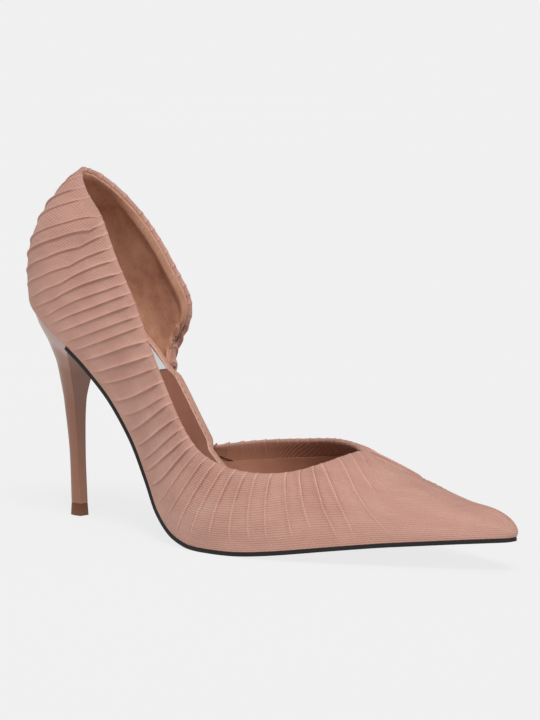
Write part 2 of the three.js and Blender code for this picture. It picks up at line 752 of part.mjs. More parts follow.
// The open waist's edge, wrapped
const rimEdges = { outside: edges(0), inside: edges(rimWidth) };
add('insole_rim_wrap', slab({
  from: 32.5 * along,
  to: 50.2 * along,
  outer: (x) => rimEdges.inside.inner(x),
  inner: (x) => rimEdges.outside.inner(x),
  low: feather,
  high: sockTop,
  strips: 1,
}), 0xc79a78, 0.5);

// ---- Upper
const sideEnd = side.openCount + crown.length - 1;
const wingEnd = wing.openCount + crown.length - 1;
const throat = side.openCount;
const wingThroat = wing.openCount;
const pink = 0xc98f86;
// The point of the toe is too narrow for all the layers: the puff and the lining stop
// two ribs short of it
const liningEnd = sideEnd - 2;
const liningWingEnd = wingEnd - 2;
add('upper_pleated_vamp', layer(
  [['side', seam, sideEnd, 0, rows], ['wing', 0, wingEnd, 0, rows]], 0, pleatedThickness,
), pink, 0.7);
add('upper_pleated_ear', layer(
  [['ear', seam, ear.openCount, 0, rows]], 0, pleatedThickness,
), pink, 0.7);
// The cloth and the stiffeners under the pleats end below the topline, inside its fold
const underFold = rows - 1;
add('upper_base_vamp', layer([
  ['side', baseSeam, throat, 0, underFold], ['side', throat, sideEnd, 0, rows],
  ['wing', 0, wingThroat, 0, underFold], ['wing', wingThroat, wingEnd, 0, rows],
], baseOutside, baseInside), 0xb67d74, 0.85);
add('upper_base_ear', layer(
  [['ear', baseSeam, ear.openCount, 0, underFold]], baseOutside, baseInside,
), 0xb67d74, 0.85);
add('heel_counter', layer(
  [['side', 0, 7, 0, underFold], ['ear', 0, 7, 0, underFold]], stiffenerOutside, stiffenerInside,
), 0xcfc2ad, 0.8);
add('toe_puff', layer(
  [['side', throat + 2, liningEnd, 1, rows], ['wing', wingThroat + 2, liningWingEnd, 1, rows]],
  stiffenerOutside, stiffenerInside,
), 0xd8d0bd, 0.8);
add('topline_tape_side', layer(
  [['side', 7.5, throat, underFold - 1, underFold]], stiffenerOutside, stiffenerInside,
), 0xe3d9cc, 0.9);
add('topline_tape_wing', layer(
  [['wing', 1, wingThroat - 0.5, underFold - 1, underFold]], stiffenerOutside, stiffenerInside,
), 0xe3d9cc, 0.9);
add('quarter_lining', layer(
  [['side', 0, lap, 0, rows], ['ear', 0, ear.openCount, 0, rows]], liningOutside, liningInside,
), 0xb88a68, 0.9);
add('vamp_lining', layer(
  [['side', lap + seam, liningEnd, 0, rows], ['wing', 0, liningWingEnd, 0, rows]],
  liningOutside, liningInside,
), 0xb07f5e, 0.5);

// The group stands with the middle of its outline's box over the origin
object.updateMatrixWorld(true);
const box = new THREE.Box3().setFromObject(object);
object.position.set(-(box.min.x + box.max.x) / 2, -(box.min.y + box.max.y) / 2, -box.min.z);
const group = new THREE.Group();
group.add(object);

export default group;
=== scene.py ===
# %% [markdown]
# # A pointed half-d'Orsay pump, dressed over its CAD frame
# The CAD model holds every piece of the shoe at its real size. This lesson gives the pieces
# that can be seen their real surfaces: pleated mesh, suede, lining leather, lacquer and
# rubber. We load the frame first, and keep its box, because the looks must not outgrow it.

# %% Load the frame
import math

import bpy
import numpy as np
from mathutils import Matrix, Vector


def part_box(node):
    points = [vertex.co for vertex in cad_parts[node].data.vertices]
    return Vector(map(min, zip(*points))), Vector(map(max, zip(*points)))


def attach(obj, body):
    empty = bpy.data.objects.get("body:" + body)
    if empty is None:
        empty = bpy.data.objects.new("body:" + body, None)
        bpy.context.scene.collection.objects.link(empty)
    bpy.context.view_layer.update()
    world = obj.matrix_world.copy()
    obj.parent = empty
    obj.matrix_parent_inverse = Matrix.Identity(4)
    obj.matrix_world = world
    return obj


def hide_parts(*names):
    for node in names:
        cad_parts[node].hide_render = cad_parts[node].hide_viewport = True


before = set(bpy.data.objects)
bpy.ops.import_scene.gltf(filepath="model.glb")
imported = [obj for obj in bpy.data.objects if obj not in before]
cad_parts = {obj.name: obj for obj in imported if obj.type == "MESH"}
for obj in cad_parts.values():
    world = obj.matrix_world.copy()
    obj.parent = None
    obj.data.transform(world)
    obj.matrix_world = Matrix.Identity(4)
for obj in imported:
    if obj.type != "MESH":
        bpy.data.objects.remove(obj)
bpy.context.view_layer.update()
MM = 0.001

# %% [markdown]
# # The camera and the studio
# The camera stands on the shoe's outer side, a little in front and barely above it, with a
# long lens so that the toe and the heel keep their proportions. We aim at a point inside
# the shoe, in the form's own millimetres, and place the camera from it.

# %% Where the form stands in the frame
TIP = (-3.84, 2.56, 2.15)  # back, front and half width of the heel's lower end, in mm
TIP_HEIGHT = 4.7
TIP_FLARE = 0.25
low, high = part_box("top_piece")
OFFSET = np.array([
    (low[0] + high[0]) / 2 / MM - (TIP[0] + TIP[1]) / 2, (low[1] + high[1]) / 2 / MM, 0,
])
print("the form's origin in the frame, mm", OFFSET.round(3))


def to_frame(points):
    """Points of the form, in millimetres, as metres in the frame."""
    return (np.asarray(points, float) + OFFSET) * MM


# %% The camera
AZIMUTH = math.radians(41)
ELEVATION = math.radians(6.2)
DISTANCE = 1.38          # metres
LENS = 178               # focal length and sensor breadth, in mm
SENSOR = 36
AIM = Vector(to_frame([103, 0, 71]))
direction = Vector((
    math.sin(AZIMUTH) * math.cos(ELEVATION),
    -math.cos(AZIMUTH) * math.cos(ELEVATION),
    math.sin(ELEVATION),
))
camera_data = bpy.data.cameras.new("camera")
camera_data.lens = LENS
camera_data.sensor_width = SENSOR
camera_data.sensor_fit = "AUTO"
camera = bpy.data.objects.new("camera", camera_data)
bpy.context.collection.objects.link(camera)
camera.location = AIM + direction * DISTANCE
camera.rotation_euler = direction.to_track_quat("Z", "Y").to_euler()
bpy.context.scene.camera = camera

# %% Colours and nodes
def linear(code):
    """An sRGB hex colour as the linear values that shaders use."""
    out = []
    for k in (1, 3, 5):
        value = int(code[k:k + 2], 16) / 255
        out.append(value / 12.92 if value <= 0.04045 else ((value + 0.055) / 1.055) ** 2.4)
    return (*out, 1.0)


def node(material, kind, links=None, **settings):
    """Adds a node: plain settings by name, socket values as s_NAME or i_NUMBER."""
    tree = material.node_tree
    made = tree.nodes.new(kind)
    for key, value in settings.items():
        if key.startswith("s_"):
            made.inputs[key[2:].replace("_", " ")].default_value = value
        elif key.startswith("i_"):
            made.inputs[int(key[2:])].default_value = value
        else:
            setattr(made, key, value)
    for socket, source in (links or {}).items():
        tree.links.new(source, made.inputs[socket])
    return made


def new_material(name, **settings):
    """A material with one principled shader, whose sockets are set by name."""
    material = bpy.data.materials.new(name)
    material.use_nodes = True
    shader = material.node_tree.nodes["Principled BSDF"]
    for key, value in settings.items():
        shader.inputs[key.replace("_", " ")].default_value = value
    return material, shader


def ramp(material, source, stops):
    """A colour ramp between stops of (place, hex colour or grey value)."""
    made = node(material, "ShaderNodeValToRGB", {"Fac": source})
    band = made.color_ramp
    while len(band.elements) < len(stops):
        band.elements.new(0.5)
    for element, (place, value) in zip(band.elements, stops):
        element.position = place
        element.color = linear(value) if isinstance(value, str) else (value,) * 3 + (1.0,)
    return made


# %% Floor
FLOOR_SIZE = 90          # metres, so that its far edge lies above the view
bpy.ops.object.select_all(action="DESELECT")
bpy.ops.mesh.primitive_plane_add(size=FLOOR_SIZE, location=(0, 0, 0))
floor = bpy.context.object
floor.name = "studio_floor"

# %% [markdown]
# # The form that the shoe is lasted on
# A shoe's upper is pulled over a last, so its shape is a net of ribs. Each rib runs from
# the sole's edge up to the topline. The same ribs shape the pleats, the linings and the
# sock here, so that all layers lie parallel. The ribs are in millimetres, with the middle
# of the heel's tip at x = 0.

# %% Driving sizes in millimetres
FEATHER = 1.4            # height of the sole's edge, where the upper starts
SOCK_TOP = 7.6           # height of the footbed's face above the underside
OUTSOLE = 1.6            # thickness of the outsole
OUTSOLE_MARGIN = 0.2     # the outsole stands out from the upper by this
TREAD = (99, 108)        # stations between which the ball lies flat on the ground

PROFILE = [
    (-23, 91.7), (-12, 85.3), (0, 78.3), (12, 71.3), (23, 63), (34, 51.6), (45, 37.2),
    (56, 22.8), (67, 11.7), (79, 4.4), (90, 0.9), (99, 0), (108, 0), (120, 0.4),
    (135, 2), (155, 4.8), (175, 7.4), (195, 9.4), (210, 10.7), (221, 11.6),
]
SIDE_RIBS = [
    (-21.3, 0, 3, 0, 143, 0), (-19, -9.5, 6.5, -5.2, 140.5, 0),
    (-11, -16.8, 14.5, -10.3, 133.5, 0), (1, -20.5, 25.9, -14.5, 124.1, 0),
    (13, -21.5, 37.5, -18, 107.8, 0), (24, -20.8, 49.7, -20.5, 90.9, 0),
    (35, -19, 60, -22, 72.3, 0), (46, -18.8, 70.5, -24.2, 56.5, 0),
    (57, -22.2, 80, -26.6, 45.6, 0), (69, -28.5, 89, -28.7, 38.6, 0),
    (82, -34, 98, -30.8, 35.2, 0), (97, -37.3, 108, -31.9, 33, 0.05),
    (113, -38, 119, -31.3, 31.9, 0.1), (129, -36, 129.5, -28.8, 32.2, 0.2),
    (144, -31.8, 138, -24.4, 33.7, 0.4), (157, -27, 145, -16.5, 36.8, 0.65),
    (167, -23, 148.5, -8, 39.2, 0.85), (174, -20, 149.5, -1, 39.8, 1),
]
WING_RIBS = [
    (51, 18.6, 55.2, 19, 31.5, 0), (57, 19.6, 61, 21.6, 32.4, 0),
    (65, 22, 68.5, 25.6, 33.6, 0), (75, 26, 77, 28.3, 34.8, 0),
    (87, 31, 87, 29.4, 36, 0.05), (101, 34.8, 97.5, 28.6, 37.2, 0.1),
    (117, 36.3, 108.5, 26.2, 38.6, 0.2), (132, 35.9, 119, 21.6, 39.8, 0.35),
    (146, 33.6, 129, 16.2, 40.4, 0.5), (158, 30.4, 138, 10.2, 40.6, 0.7),
    (167, 27.6, 145, 4, 40.4, 0.85), (174, 25.2, 149.5, -1, 39.8, 1),
]
EAR_RIBS = [
    (-21.3, 0, 3, 0, 143, 0), (-19, 9.5, 7, 5.5, 140.4, 0),
    (-11, 16.8, 14, 11, 133.4, 0), (-2, 20, 22.5, 14.6, 124, 0),
    (6, 21, 30.5, 17.4, 112.8, 0), (13, 21.4, 37, 19.4, 101.6, 0),
    (18.5, 21.3, 42, 20.6, 93, 0), (22, 21.1, 43.6, 21, 86.5, 0),
    (24.5, 20.9, 42.3, 21, 80.4, 0), (26.5, 20.7, 38.6, 20.8, 75, 0),
    (29, 20.3, 35.4, 20.5, 69.8, 0), (32, 20, 35.2, 20.2, 62, 0),
]
CROWN = [
    (174, -20, 174, 25.2, 149.5, -1, 39.8), (182, -16.8, 182, 22.4, 157, 2.5, 35.4),
    (190, -13.2, 190, 19.4, 169, 5, 31.2), (198, -9.2, 198, 16.4, 182, 6, 27.4),
    (206, -5, 206, 13, 195, 6.2, 24.4), (212.8, -1.4, 212.8, 10, 206, 5.8, 23),
    (217.2, 1.4, 217.2, 7.6, 212.4, 5.3, 21.4), (218.2, 4.6, 218.2, 4.6, 215.4, 4.9, 19.6),
]
NOSE_START = 196         # from this station on, the toe gets rounder, in mm
SIDE_TOE = 218.2         # station of the toe's tip
NOSE_BULGE = 3.0         # how far the nose's lower curve is pushed ahead at the tip
CUP_REACH = 20           # behind station 0, the heel cup's fullness grows over this length
CUP_BREADTH = 20         # within this breadth of the middle, the cup's ribs turn backward
CUP_LOW = 0.1            # share of a rib's height that its lower half bulges further
CUP_HIGH = 0.2           # the same for its upper half
THROAT = len(SIDE_RIBS) - 1        # rib at which the near topline reaches the throat
WING_THROAT = len(WING_RIBS) - 1   # the same on the far side
CROWN_RIBS = len(CROWN) - 1

# %% Curves through points
def curve(points, t, closed_ends=False):
    """A smooth curve through points, at shares t from 0 to 1."""
    p = np.asarray(points, float)
    t = np.asarray(t, float)
    before = p[0] if closed_ends else 2 * p[0] - p[1]
    after = p[-1] if closed_ends else 2 * p[-1] - p[-2]
    p = np.vstack([before, p, after])
    spans = len(points) - 1
    place = np.clip(t, 0, 1) * spans
    k = np.minimum(place.astype(int), spans - 1)
    w = (place - k)[..., None]
    a, b, c, d = p[k], p[k + 1], p[k + 2], p[k + 3]
    v0 = (c - a) / 2
    v1 = (d - b) / 2
    return ((2 * b - 2 * c + v0 + v1) * w ** 3 + (-3 * b + 3 * c - 2 * v0 - v1) * w ** 2
            + v0 * w + b)


PROFILE_STEPS = 900
SLOPE_REACH = 6
run = curve(PROFILE, np.linspace(0, 1, PROFILE_STEPS + 1), closed_ends=True)


def sole_at(x):
    """Height of the sole's underside at a station, and its upward direction."""
    x = np.asarray(x, float)
    z = np.maximum(0, np.interp(x, run[:, 0], run[:, 1]))
    z = np.where((x >= TREAD[0]) & (x <= TREAD[1]), 0, z)
    k = np.clip(np.searchsorted(run[:, 0], x) - 1, 0, PROFILE_STEPS - 1)
    low = run[np.maximum(0, k - SLOPE_REACH)]
    high = run[np.minimum(PROFILE_STEPS, k + 1 + SLOPE_REACH)]
    slope = (high[..., 1] - low[..., 1]) / (high[..., 0] - low[..., 0])
    length = np.hypot(1, slope)
    normal = np.stack([-slope / length, np.zeros_like(slope), 1 / length], -1)
    return z, normal


def on_sole(x, y, height):
    """Points at a station, a breadth and a height above the underside."""
    x, y, height = np.broadcast_arrays(x, y, height)
    z, normal = sole_at(x)
    return np.stack([x, y, z], -1) + normal * np.asarray(height, float)[..., None]


# %% The ribs as one smooth face
def family(ribs, crown_feet):
    """Foot curve with the bend as its third value, top curve, and counts of ribs."""
    feet = [(r[0], r[1], r[5]) for r in ribs] + [(x, y, 1) for x, y in crown_feet]
    tops = [r[2:5] for r in ribs]
    return {"feet": feet, "tops": tops, "open": len(ribs) - 1, "count": len(feet) - 1}


FAMILIES = {
    "side": family(SIDE_RIBS, [row[0:2] for row in CROWN[1:]]),
    "wing": family(WING_RIBS, [row[2:4] for row in CROWN[1:]]),
    "ear": family(EAR_RIBS, []),
}
RIDGE = [row[4:7] for row in CROWN]


def blend(a, b, share):
    return a + (b - a) * np.asarray(share)[..., None]


def on_form(name, rib, share):
    """Points of the upper's outer face, at a rib number and a share from foot to top."""
    kin = FAMILIES[name]
    rib, share = np.broadcast_arrays(np.asarray(rib, float), np.asarray(share, float))
    feet = curve(kin["feet"], rib / kin["count"])
    bend = np.clip(feet[..., 2], 0, 1)
    foot = on_sole(feet[..., 0], feet[..., 1], FEATHER)
    crown_share = np.clip((rib - kin["open"]) / CROWN_RIBS, 0, 1)
    open_top = curve(kin["tops"], rib / kin["open"])
    crown_top = curve(RIDGE, crown_share)
    on_crown = (rib > kin["open"])[..., None]
    top = np.where(on_crown, crown_top, open_top)
    height = np.linalg.norm(top - foot, axis=-1)[..., None]
    outward = np.zeros_like(foot)
    outward[..., 1] = np.sign(feet[..., 1] - top[..., 1] * 0.5)
    backness = np.maximum(0, 1 - np.abs(feet[..., 1]) / CUP_BREADTH)
    full = np.clip(-feet[..., 0] / CUP_REACH, 0, 1)[..., None]
    behind = feet[..., 0] < 0
    outward[..., 0] = np.where(behind, -backness, 0)
    outward[..., 1] = np.where(behind, outward[..., 1] * (1 - backness), outward[..., 1])
    outward /= np.maximum(1e-9, np.linalg.norm(outward, axis=-1))[..., None]
    normal = sole_at(feet[..., 0])[1]
    upward = blend(normal, np.array([0, 0, 1.0]), bend)
    bend = bend[..., None]
    lower = foot + upward * height * (0.3 + 0.02 * bend)
    lower = lower + outward * height * (0.06 - 0.02 * bend + CUP_LOW * full)
    nose = np.clip((feet[..., 0] - NOSE_START) / (SIDE_TOE - NOSE_START), 0, 1)[..., None]
    lower = lower + np.array([NOSE_BULGE, 0, 0]) * nose ** 2
    step = 1e-4
    ahead = curve(RIDGE, np.clip(crown_share + step, 0, 1))
    back = curve(RIDGE, np.clip(crown_share - step, 0, 1))
    tangent = (ahead - back) / np.linalg.norm(ahead - back, axis=-1)[..., None]
    slope = tangent[..., 2] / np.maximum(0.3, tangent[..., 0])
    dx = foot[..., 0] - top[..., 0]
    dy = foot[..., 1] - top[..., 1]
    level = np.stack([dx, dy, slope * dx], -1) * 0.55
    upright = (foot - top) * 0.33 + outward * height * (0.07 + CUP_HIGH * full)
    upper = top + upright + (level - upright) * bend
    t = share[..., None]
    return ((1 - t) ** 3 * foot + 3 * (1 - t) ** 2 * t * lower
            + 3 * (1 - t) * t ** 2 * upper + t ** 3 * top)


# %% [markdown]
# # Finishes
# Each finish is named for its real material. The cloths read their own UV map, which is
# laid out in millimetres along the pleats, so that the weave has its real scale. The
# leathers read object coordinates. Every surface gets some colour change over a few
# millimetres, a fine texture as bump, and the roughness that the material really has.

# %% Shared pieces of a finish
def cloth_coordinates(material, turn=0.0):
    uv = node(material, "ShaderNodeUVMap", uv_map="UVMap")
    return node(material, "ShaderNodeMapping", {"Vector": uv.outputs[0]},
                s_Rotation=(0, 0, turn)).outputs[0]


def object_coordinates(material):
    return node(material, "ShaderNodeTexCoord").outputs["Object"]


def noise(material, vector, scale, detail=3.0, roughness=0.55):
    return node(material, "ShaderNodeTexNoise", {"Vector": vector}, s_Scale=scale,
                s_Detail=detail, s_Roughness=roughness).outputs["Fac"]


def bump(material, height, distance, strength=1.0, normal=None):
    links = {"Height": height}
    if normal is not None:
        links["Normal"] = normal
    return node(material, "ShaderNodeBump", links, s_Distance=distance,
                s_Strength=strength).outputs[0]


def mixed(material, a, b, factor, mode="MIX"):
    """Two colours, each a socket or a hex code, mixed by a socket or a number."""
    made = node(material, "ShaderNodeMix", data_type="RGBA", blend_type=mode)
    for socket, value in ((6, a), (7, b), (0, factor)):
        if isinstance(value, str):
            made.inputs[socket].default_value = linear(value)
        elif isinstance(value, (int, float)):
            made.inputs[socket].default_value = value
        else:
            material.node_tree.links.new(value, made.inputs[socket])
    return made.outputs[2]


# %% Pleated mesh: fine nylon tulle laid in pleats over a pink cloth
# It gives the eye a soft, chalky pink with fine cross ribs. Each fold gets a painted highlight on
# its edge and painted shade in the crease beyond it, and the strip turned in at the topline gets
# painted shade.
RIB_MM = 0.9             # spacing of the cross ribs; the real ones are finer, about 0.5 mm
WARP_MM = 0.55           # spacing of the threads that cross them
PLEAT_UV = 5.0           # breadth that one pleat has in the UV map, in mm
# the next value is the breadth around a fold that the ramp of painted highlight and painted shade
# covers
FOLD_PAINT_SPAN = 6          # breadth around a fold that the crease's ramp covers, in mm


def pleated_mesh():
    material, shader = new_material("pleated_nylon_mesh", Roughness=0.78, IOR=1.5,
                                    Sheen_Weight=0.25, Sheen_Roughness=0.45)
    shader.inputs["Sheen Tint"].default_value = linear("#f0cfc4")
    uv = cloth_coordinates(material)
    ribs = node(material, "ShaderNodeTexWave", {"Vector": uv}, wave_type="BANDS",
                bands_direction="Y", wave_profile="SIN", s_Scale=math.pi / 10 / RIB_MM,
                s_Distortion=0.6, s_Detail=1.0, s_Detail_Scale=0.8).outputs["Fac"]
    warp = node(material, "ShaderNodeTexWave", {"Vector": uv}, wave_type="BANDS",
                bands_direction="X", wave_profile="SIN", s_Scale=math.pi / 10 / WARP_MM,
                s_Distortion=0.8, s_Detail=1.0, s_Detail_Scale=0.8).outputs["Fac"]
    cross = node(material, "ShaderNodeMath", {0: warp}, operation="MULTIPLY", i_1=0.3).outputs[0]
    weave = node(material, "ShaderNodeMath", {0: ribs, 1: cross}, operation="ADD").outputs[0]
    cloud = noise(material, uv, 0.09, 3.0)
    grain = noise(material, uv, 1.6, 2.0)
    base = ramp(material, cloud, [(0.3, "#bb8b7c"), (0.52, "#c49484"), (0.75, "#ca9d8d")])
    shade = ramp(material, weave, [(0.0, 0.88), (1.0, 1.04)])
    tinted = mixed(material, base.outputs[0], shade.outputs[0], 0.8, "MULTIPLY")
    speck = ramp(material, grain, [(0.3, 0.93), (0.7, 1.05)])
    tinted = mixed(material, tinted, speck.outputs[0], 0.6, "MULTIPLY")
    # painted highlight along each fold's edge and painted shade in the crease beyond it, measured
    # in mm from each fold
    across = node(material, "ShaderNodeSeparateXYZ", {0: uv}).outputs[0]
    place = node(material, "ShaderNodeMath", {0: across}, operation="DIVIDE",
                 i_1=PLEAT_UV).outputs[0]
    whole = node(material, "ShaderNodeMath", {0: place}, operation="ROUND").outputs[0]
    part = node(material, "ShaderNodeMath", {0: place, 1: whole}, operation="SUBTRACT").outputs[0]
    gap = node(material, "ShaderNodeAttribute", attribute_name="gap").outputs["Fac"]
    away = node(material, "ShaderNodeMath", {0: part, 1: gap}, operation="MULTIPLY").outputs[0]
    spot = node(material, "ShaderNodeMath", {0: away}, operation="MULTIPLY_ADD",
                i_1=1 / FOLD_PAINT_SPAN, i_2=0.5).outputs[0]
    fold_highlight_and_shade = ramp(material, spot, [(0.2, 0.98), (0.36, 1.04), (0.4, 1.3), (0.458, 1.34),
                                   (0.478, 0.88), (0.503, 0.8), (0.53, 0.86), (0.7, 0.97)])
    line = node(material, "ShaderNodeAttribute", attribute_name="line").outputs["Fac"]
    tinted = mixed(material, tinted, fold_highlight_and_shade.outputs[0], line, "MULTIPLY")
    # painted shade: the band attribute darkens the strip turned in at the topline toward brown
    band = node(material, "ShaderNodeAttribute", attribute_name="band").outputs["Fac"]
    tinted = mixed(material, tinted, "#9a6850", band)
    material.node_tree.links.new(tinted, shader.inputs["Base Color"])
    fine = bump(material, weave, 0.00018, 0.7)
    soft = bump(material, cloud, 0.0008, 0.5, fine)
    material.node_tree.links.new(soft, shader.inputs["Normal"])
    return material


# %% Suede, lining leather, sock leather
def suede(name, dark, middle, light):
    """Pig suede: a short nap that scatters light, with tone that differs at random; the edge
    attribute paints a highlight on the padded ridge and the bead, and painted shade at the groove.
    """
    material, shader = new_material(name, Roughness=0.95, IOR=1.4, Sheen_Weight=0.35,
                                    Sheen_Roughness=0.6)
    shader.inputs["Sheen Tint"].default_value = linear("#d8a78c")
    where = object_coordinates(material)
    broad = noise(material, where, 70, 3.0)
    nap = noise(material, where, 1400, 3.0, 0.7)
    tone = ramp(material, broad, [(0.32, dark), (0.5, middle), (0.7, light)])
    speck = ramp(material, nap, [(0.3, 0.84), (0.7, 1.1)])
    tinted = mixed(material, tone.outputs[0], speck.outputs[0], 0.8, "MULTIPLY")
    # painted highlight on the padded ridge and the bead, pulled down toward painted shade at the
    # groove, by the edge attribute
    edge = node(material, "ShaderNodeAttribute", attribute_name="edge").outputs["Fac"]
    tinted = mixed(material, tinted, "#c4957c", edge)
    material.node_tree.links.new(tinted, shader.inputs["Base Color"])
    material.node_tree.links.new(bump(material, nap, 0.0003, 0.6), shader.inputs["Normal"])
    return material


def leather(name, dark, light, roughness, grain_mm=0.8, coat=0.0, bump_mm=0.05):
    """Finished lining leather: fine pores, a soft sheen and a little colour change."""
    material, shader = new_material(name, Roughness=roughness, IOR=1.5, Coat_Weight=coat,
                                    Coat_Roughness=0.25)
    where = object_coordinates(material)
    broad = noise(material, where, 60, 3.0)
    pores = node(material, "ShaderNodeTexVoronoi", {"Vector": where}, feature="F1",
                 s_Scale=1000 / grain_mm, s_Randomness=1.0).outputs["Distance"]
    tone = ramp(material, broad, [(0.3, dark), (0.7, light)])
    pit = ramp(material, pores, [(0.0, 0.9), (0.5, 1.02)])
    tinted = mixed(material, tone.outputs[0], pit.outputs[0], 0.7, "MULTIPLY")
    material.node_tree.links.new(tinted, shader.inputs["Base Color"])
    relief = bump(material, pores, bump_mm * MM, 0.5)
    material.node_tree.links.new(relief, shader.inputs["Normal"])
    return material


# %% Lacquer, rubber, foil, board, foam, steel and thread
def plain_finish(name, dark, light, roughness, scale, metallic=0.0, coat=0.0, coat_roughness=0.1,
                 bump_mm=0.02, detail=3.0):
    """A moulded, rolled or pressed surface: even colour, slight clouding, fine relief."""
    material, shader = new_material(name, Roughness=roughness, Metallic=metallic,
                                    Coat_Weight=coat, Coat_Roughness=coat_roughness)
    where = object_coordinates(material)
    cloud = noise(material, where, scale, detail)
    tone = ramp(material, cloud, [(0.3, dark), (0.7, light)])
    material.node_tree.links.new(tone.outputs[0], shader.inputs["Base Color"])
    relief = bump(material, noise(material, where, scale * 12, 2.0), bump_mm * MM, 0.4)
    material.node_tree.links.new(relief, shader.inputs["Normal"])
    return material


MESH_PINK = pleated_mesh()
SUEDE = suede("pig_suede_lining", "#b17c63", "#cf9b7e", "#dcae92")
GLOSSY_LINING = leather("glazed_lining_leather", "#a8745e", "#b9856f", 0.32, coat=0.35)
SOCK_LEATHER = leather("sock_leather", "#7f4c3a", "#8f5b47", 0.42, coat=0.2)
RIM_LEATHER = leather("rim_binding_leather", "#b98a78", "#c59784", 0.5)
# Lacquered ABS: a clear, hard gloss over a dusty brown pink
LACQUER = plain_finish("lacquered_abs", "#8f573c", "#955e42", 0.35, 40, coat=0.4,
                       coat_roughness=0.06, bump_mm=0.01)
# Moulded polyurethane with a fine spark-eroded texture
OUTSOLE_BLACK = plain_finish("moulded_black_rubber", "#070505", "#0d0a09", 0.65, 300)
TIP_RUBBER = plain_finish("cast_polyurethane", "#6a3a1c", "#774424", 0.5, 200)
LABEL_FOIL = plain_finish("printed_foil_label", "#c3cbcd", "#d3d9da", 0.35, 90)
BOARD = plain_finish("pressed_fibre_board", "#8c7355", "#a78b68", 0.9, 500, bump_mm=0.05)
FOAM = plain_finish("latex_foam", "#e0d2b2", "#efe4c8", 0.95, 900, bump_mm=0.1)
STIFFENER = plain_finish("impregnated_felt", "#bfb199", "#d2c6b0", 0.9, 700, bump_mm=0.05)
TAPE = plain_finish("cotton_tape", "#d8cdbd", "#e8dfd2", 0.9, 900, bump_mm=0.05)
BASE_CLOTH = plain_finish("pink_base_cloth", "#b07b6e", "#c08d80", 0.85, 800, bump_mm=0.05)
STEEL = plain_finish("zinc_plated_steel", "#8f9091", "#a9abad", 0.35, 300, metallic=1.0)
THREAD = plain_finish("polyester_thread", "#8c5b49", "#996855", 0.6, 800)
print("materials", len(bpy.data.materials))


# %% [markdown]
# # Sheets over the form
# On the real shoe the pleated mesh is a flat strip, pinned in pleats, then pulled over the
# last. We do the same: a flat grid is added, and each of its points is laid on the form,
# lifted by the height of its pleat. A grid keeps even rows, so the weave stays square to
# the pleats, and the Solidify modifier then gives the sheet its thickness.

# %% Helpers for making sheets
def deselect():
    bpy.ops.object.select_all(action="DESELECT")


def vertex_places(mesh):
    """The places of a mesh's points, in Blender's metres."""
    places = np.empty(len(mesh.vertices) * 3)
    mesh.vertices.foreach_get("co", places)
    return places.reshape(-1, 3)


def face_area(piece):
    """The area of a sheet's one face, before it gets its thickness, in square metres."""
    return sum(polygon.area for polygon in piece.data.polygons)


def grid(name, columns, rows, place):
    """A flat grid whose points go to place(u, v), u and v from 0 to 1, in millimetres.
    place also gives the UV of each point, in millimetres, and named point values."""
    deselect()
    bpy.ops.mesh.primitive_grid_add(x_subdivisions=columns, y_subdivisions=rows, size=1,
                                    location=(0, 0, 0), calc_uvs=True)
    piece = bpy.context.object
    piece.name = name
    mesh = piece.data
    flat = vertex_places(mesh)
    points, uv, values = place(flat[:, 0] + 0.5, flat[:, 1] + 0.5)
    mesh.vertices.foreach_set("co", to_frame(points).ravel())
    corners = np.empty(len(mesh.loops), dtype=np.int32)
    mesh.loops.foreach_get("vertex_index", corners)
    mesh.uv_layers[0].name = "UVMap"
    mesh.uv_layers[0].data.foreach_set("uv", uv[corners].astype(np.float32).ravel())
    for key, value in values.items():
        layer = mesh.attributes.new(key, "FLOAT", "POINT")
        layer.data.foreach_set("value", value.astype(np.float32))
    mesh.update()
    return piece


def join(pieces, name):
    """One object of several, with the points on their shared edges merged."""
    deselect()
    for piece in pieces:
        piece.select_set(True)
    bpy.context.view_layer.objects.active = pieces[0]
    if len(pieces) > 1:
        bpy.ops.object.join()
    piece = bpy.context.object
    piece.name = name
    piece.data.name = name
    bpy.ops.object.mode_set(mode="EDIT")
    bpy.ops.mesh.select_all(action="SELECT")
    bpy.ops.mesh.remove_doubles(threshold=MERGE)
    bpy.ops.mesh.dissolve_degenerate(threshold=MERGE / 4)
    bpy.ops.mesh.normals_make_consistent(inside=False)
    bpy.ops.object.mode_set(mode="OBJECT")
    return piece


def face_out(piece, toward):
    """Turns a sheet's faces to the side that toward(points in mm) points to."""
    mesh = piece.data
    count = len(mesh.polygons)
    centres = np.empty(count * 3)
    normals = np.empty(count * 3)
    mesh.polygons.foreach_get("center", centres)
    mesh.polygons.foreach_get("normal", normals)
    centres = centres.reshape(-1, 3) / MM - OFFSET
    score = (normals.reshape(-1, 3) * toward(centres)).sum()
    if score < 0:
        mesh.flip_normals()


def apply_modifier(piece, kind, **settings):
    deselect()
    piece.select_set(True)
    bpy.context.view_layer.objects.active = piece
    modifier = piece.modifiers.new(kind.lower(), kind)
    for key, value in settings.items():
        setattr(modifier, key, value)
    bpy.ops.object.modifier_apply(modifier=modifier.name)


def finish_piece(piece, material, nodes=(), smooth=40):
    piece.data.materials.clear()
    piece.data.materials.append(material)
    deselect()
    piece.select_set(True)
    bpy.context.view_layer.objects.active = piece
    bpy.ops.object.shade_smooth_by_angle(angle=math.radians(smooth))
    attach(piece, "root")
    if nodes:
        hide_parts(*nodes)
    print(piece.name, len(piece.data.polygons), "faces")


def away_from_last(points):
    """Roughly outward from the middle of the shoe, at points in millimetres."""
    x = points[:, 0]
    z = sole_at(x)[0]
    middle = np.stack([np.maximum(x, 5), np.where(x > 60, 2.0, 0.0), z + 12], -1)
    return points - middle


MERGE = 1e-5             # points nearer than this, in metres, become one


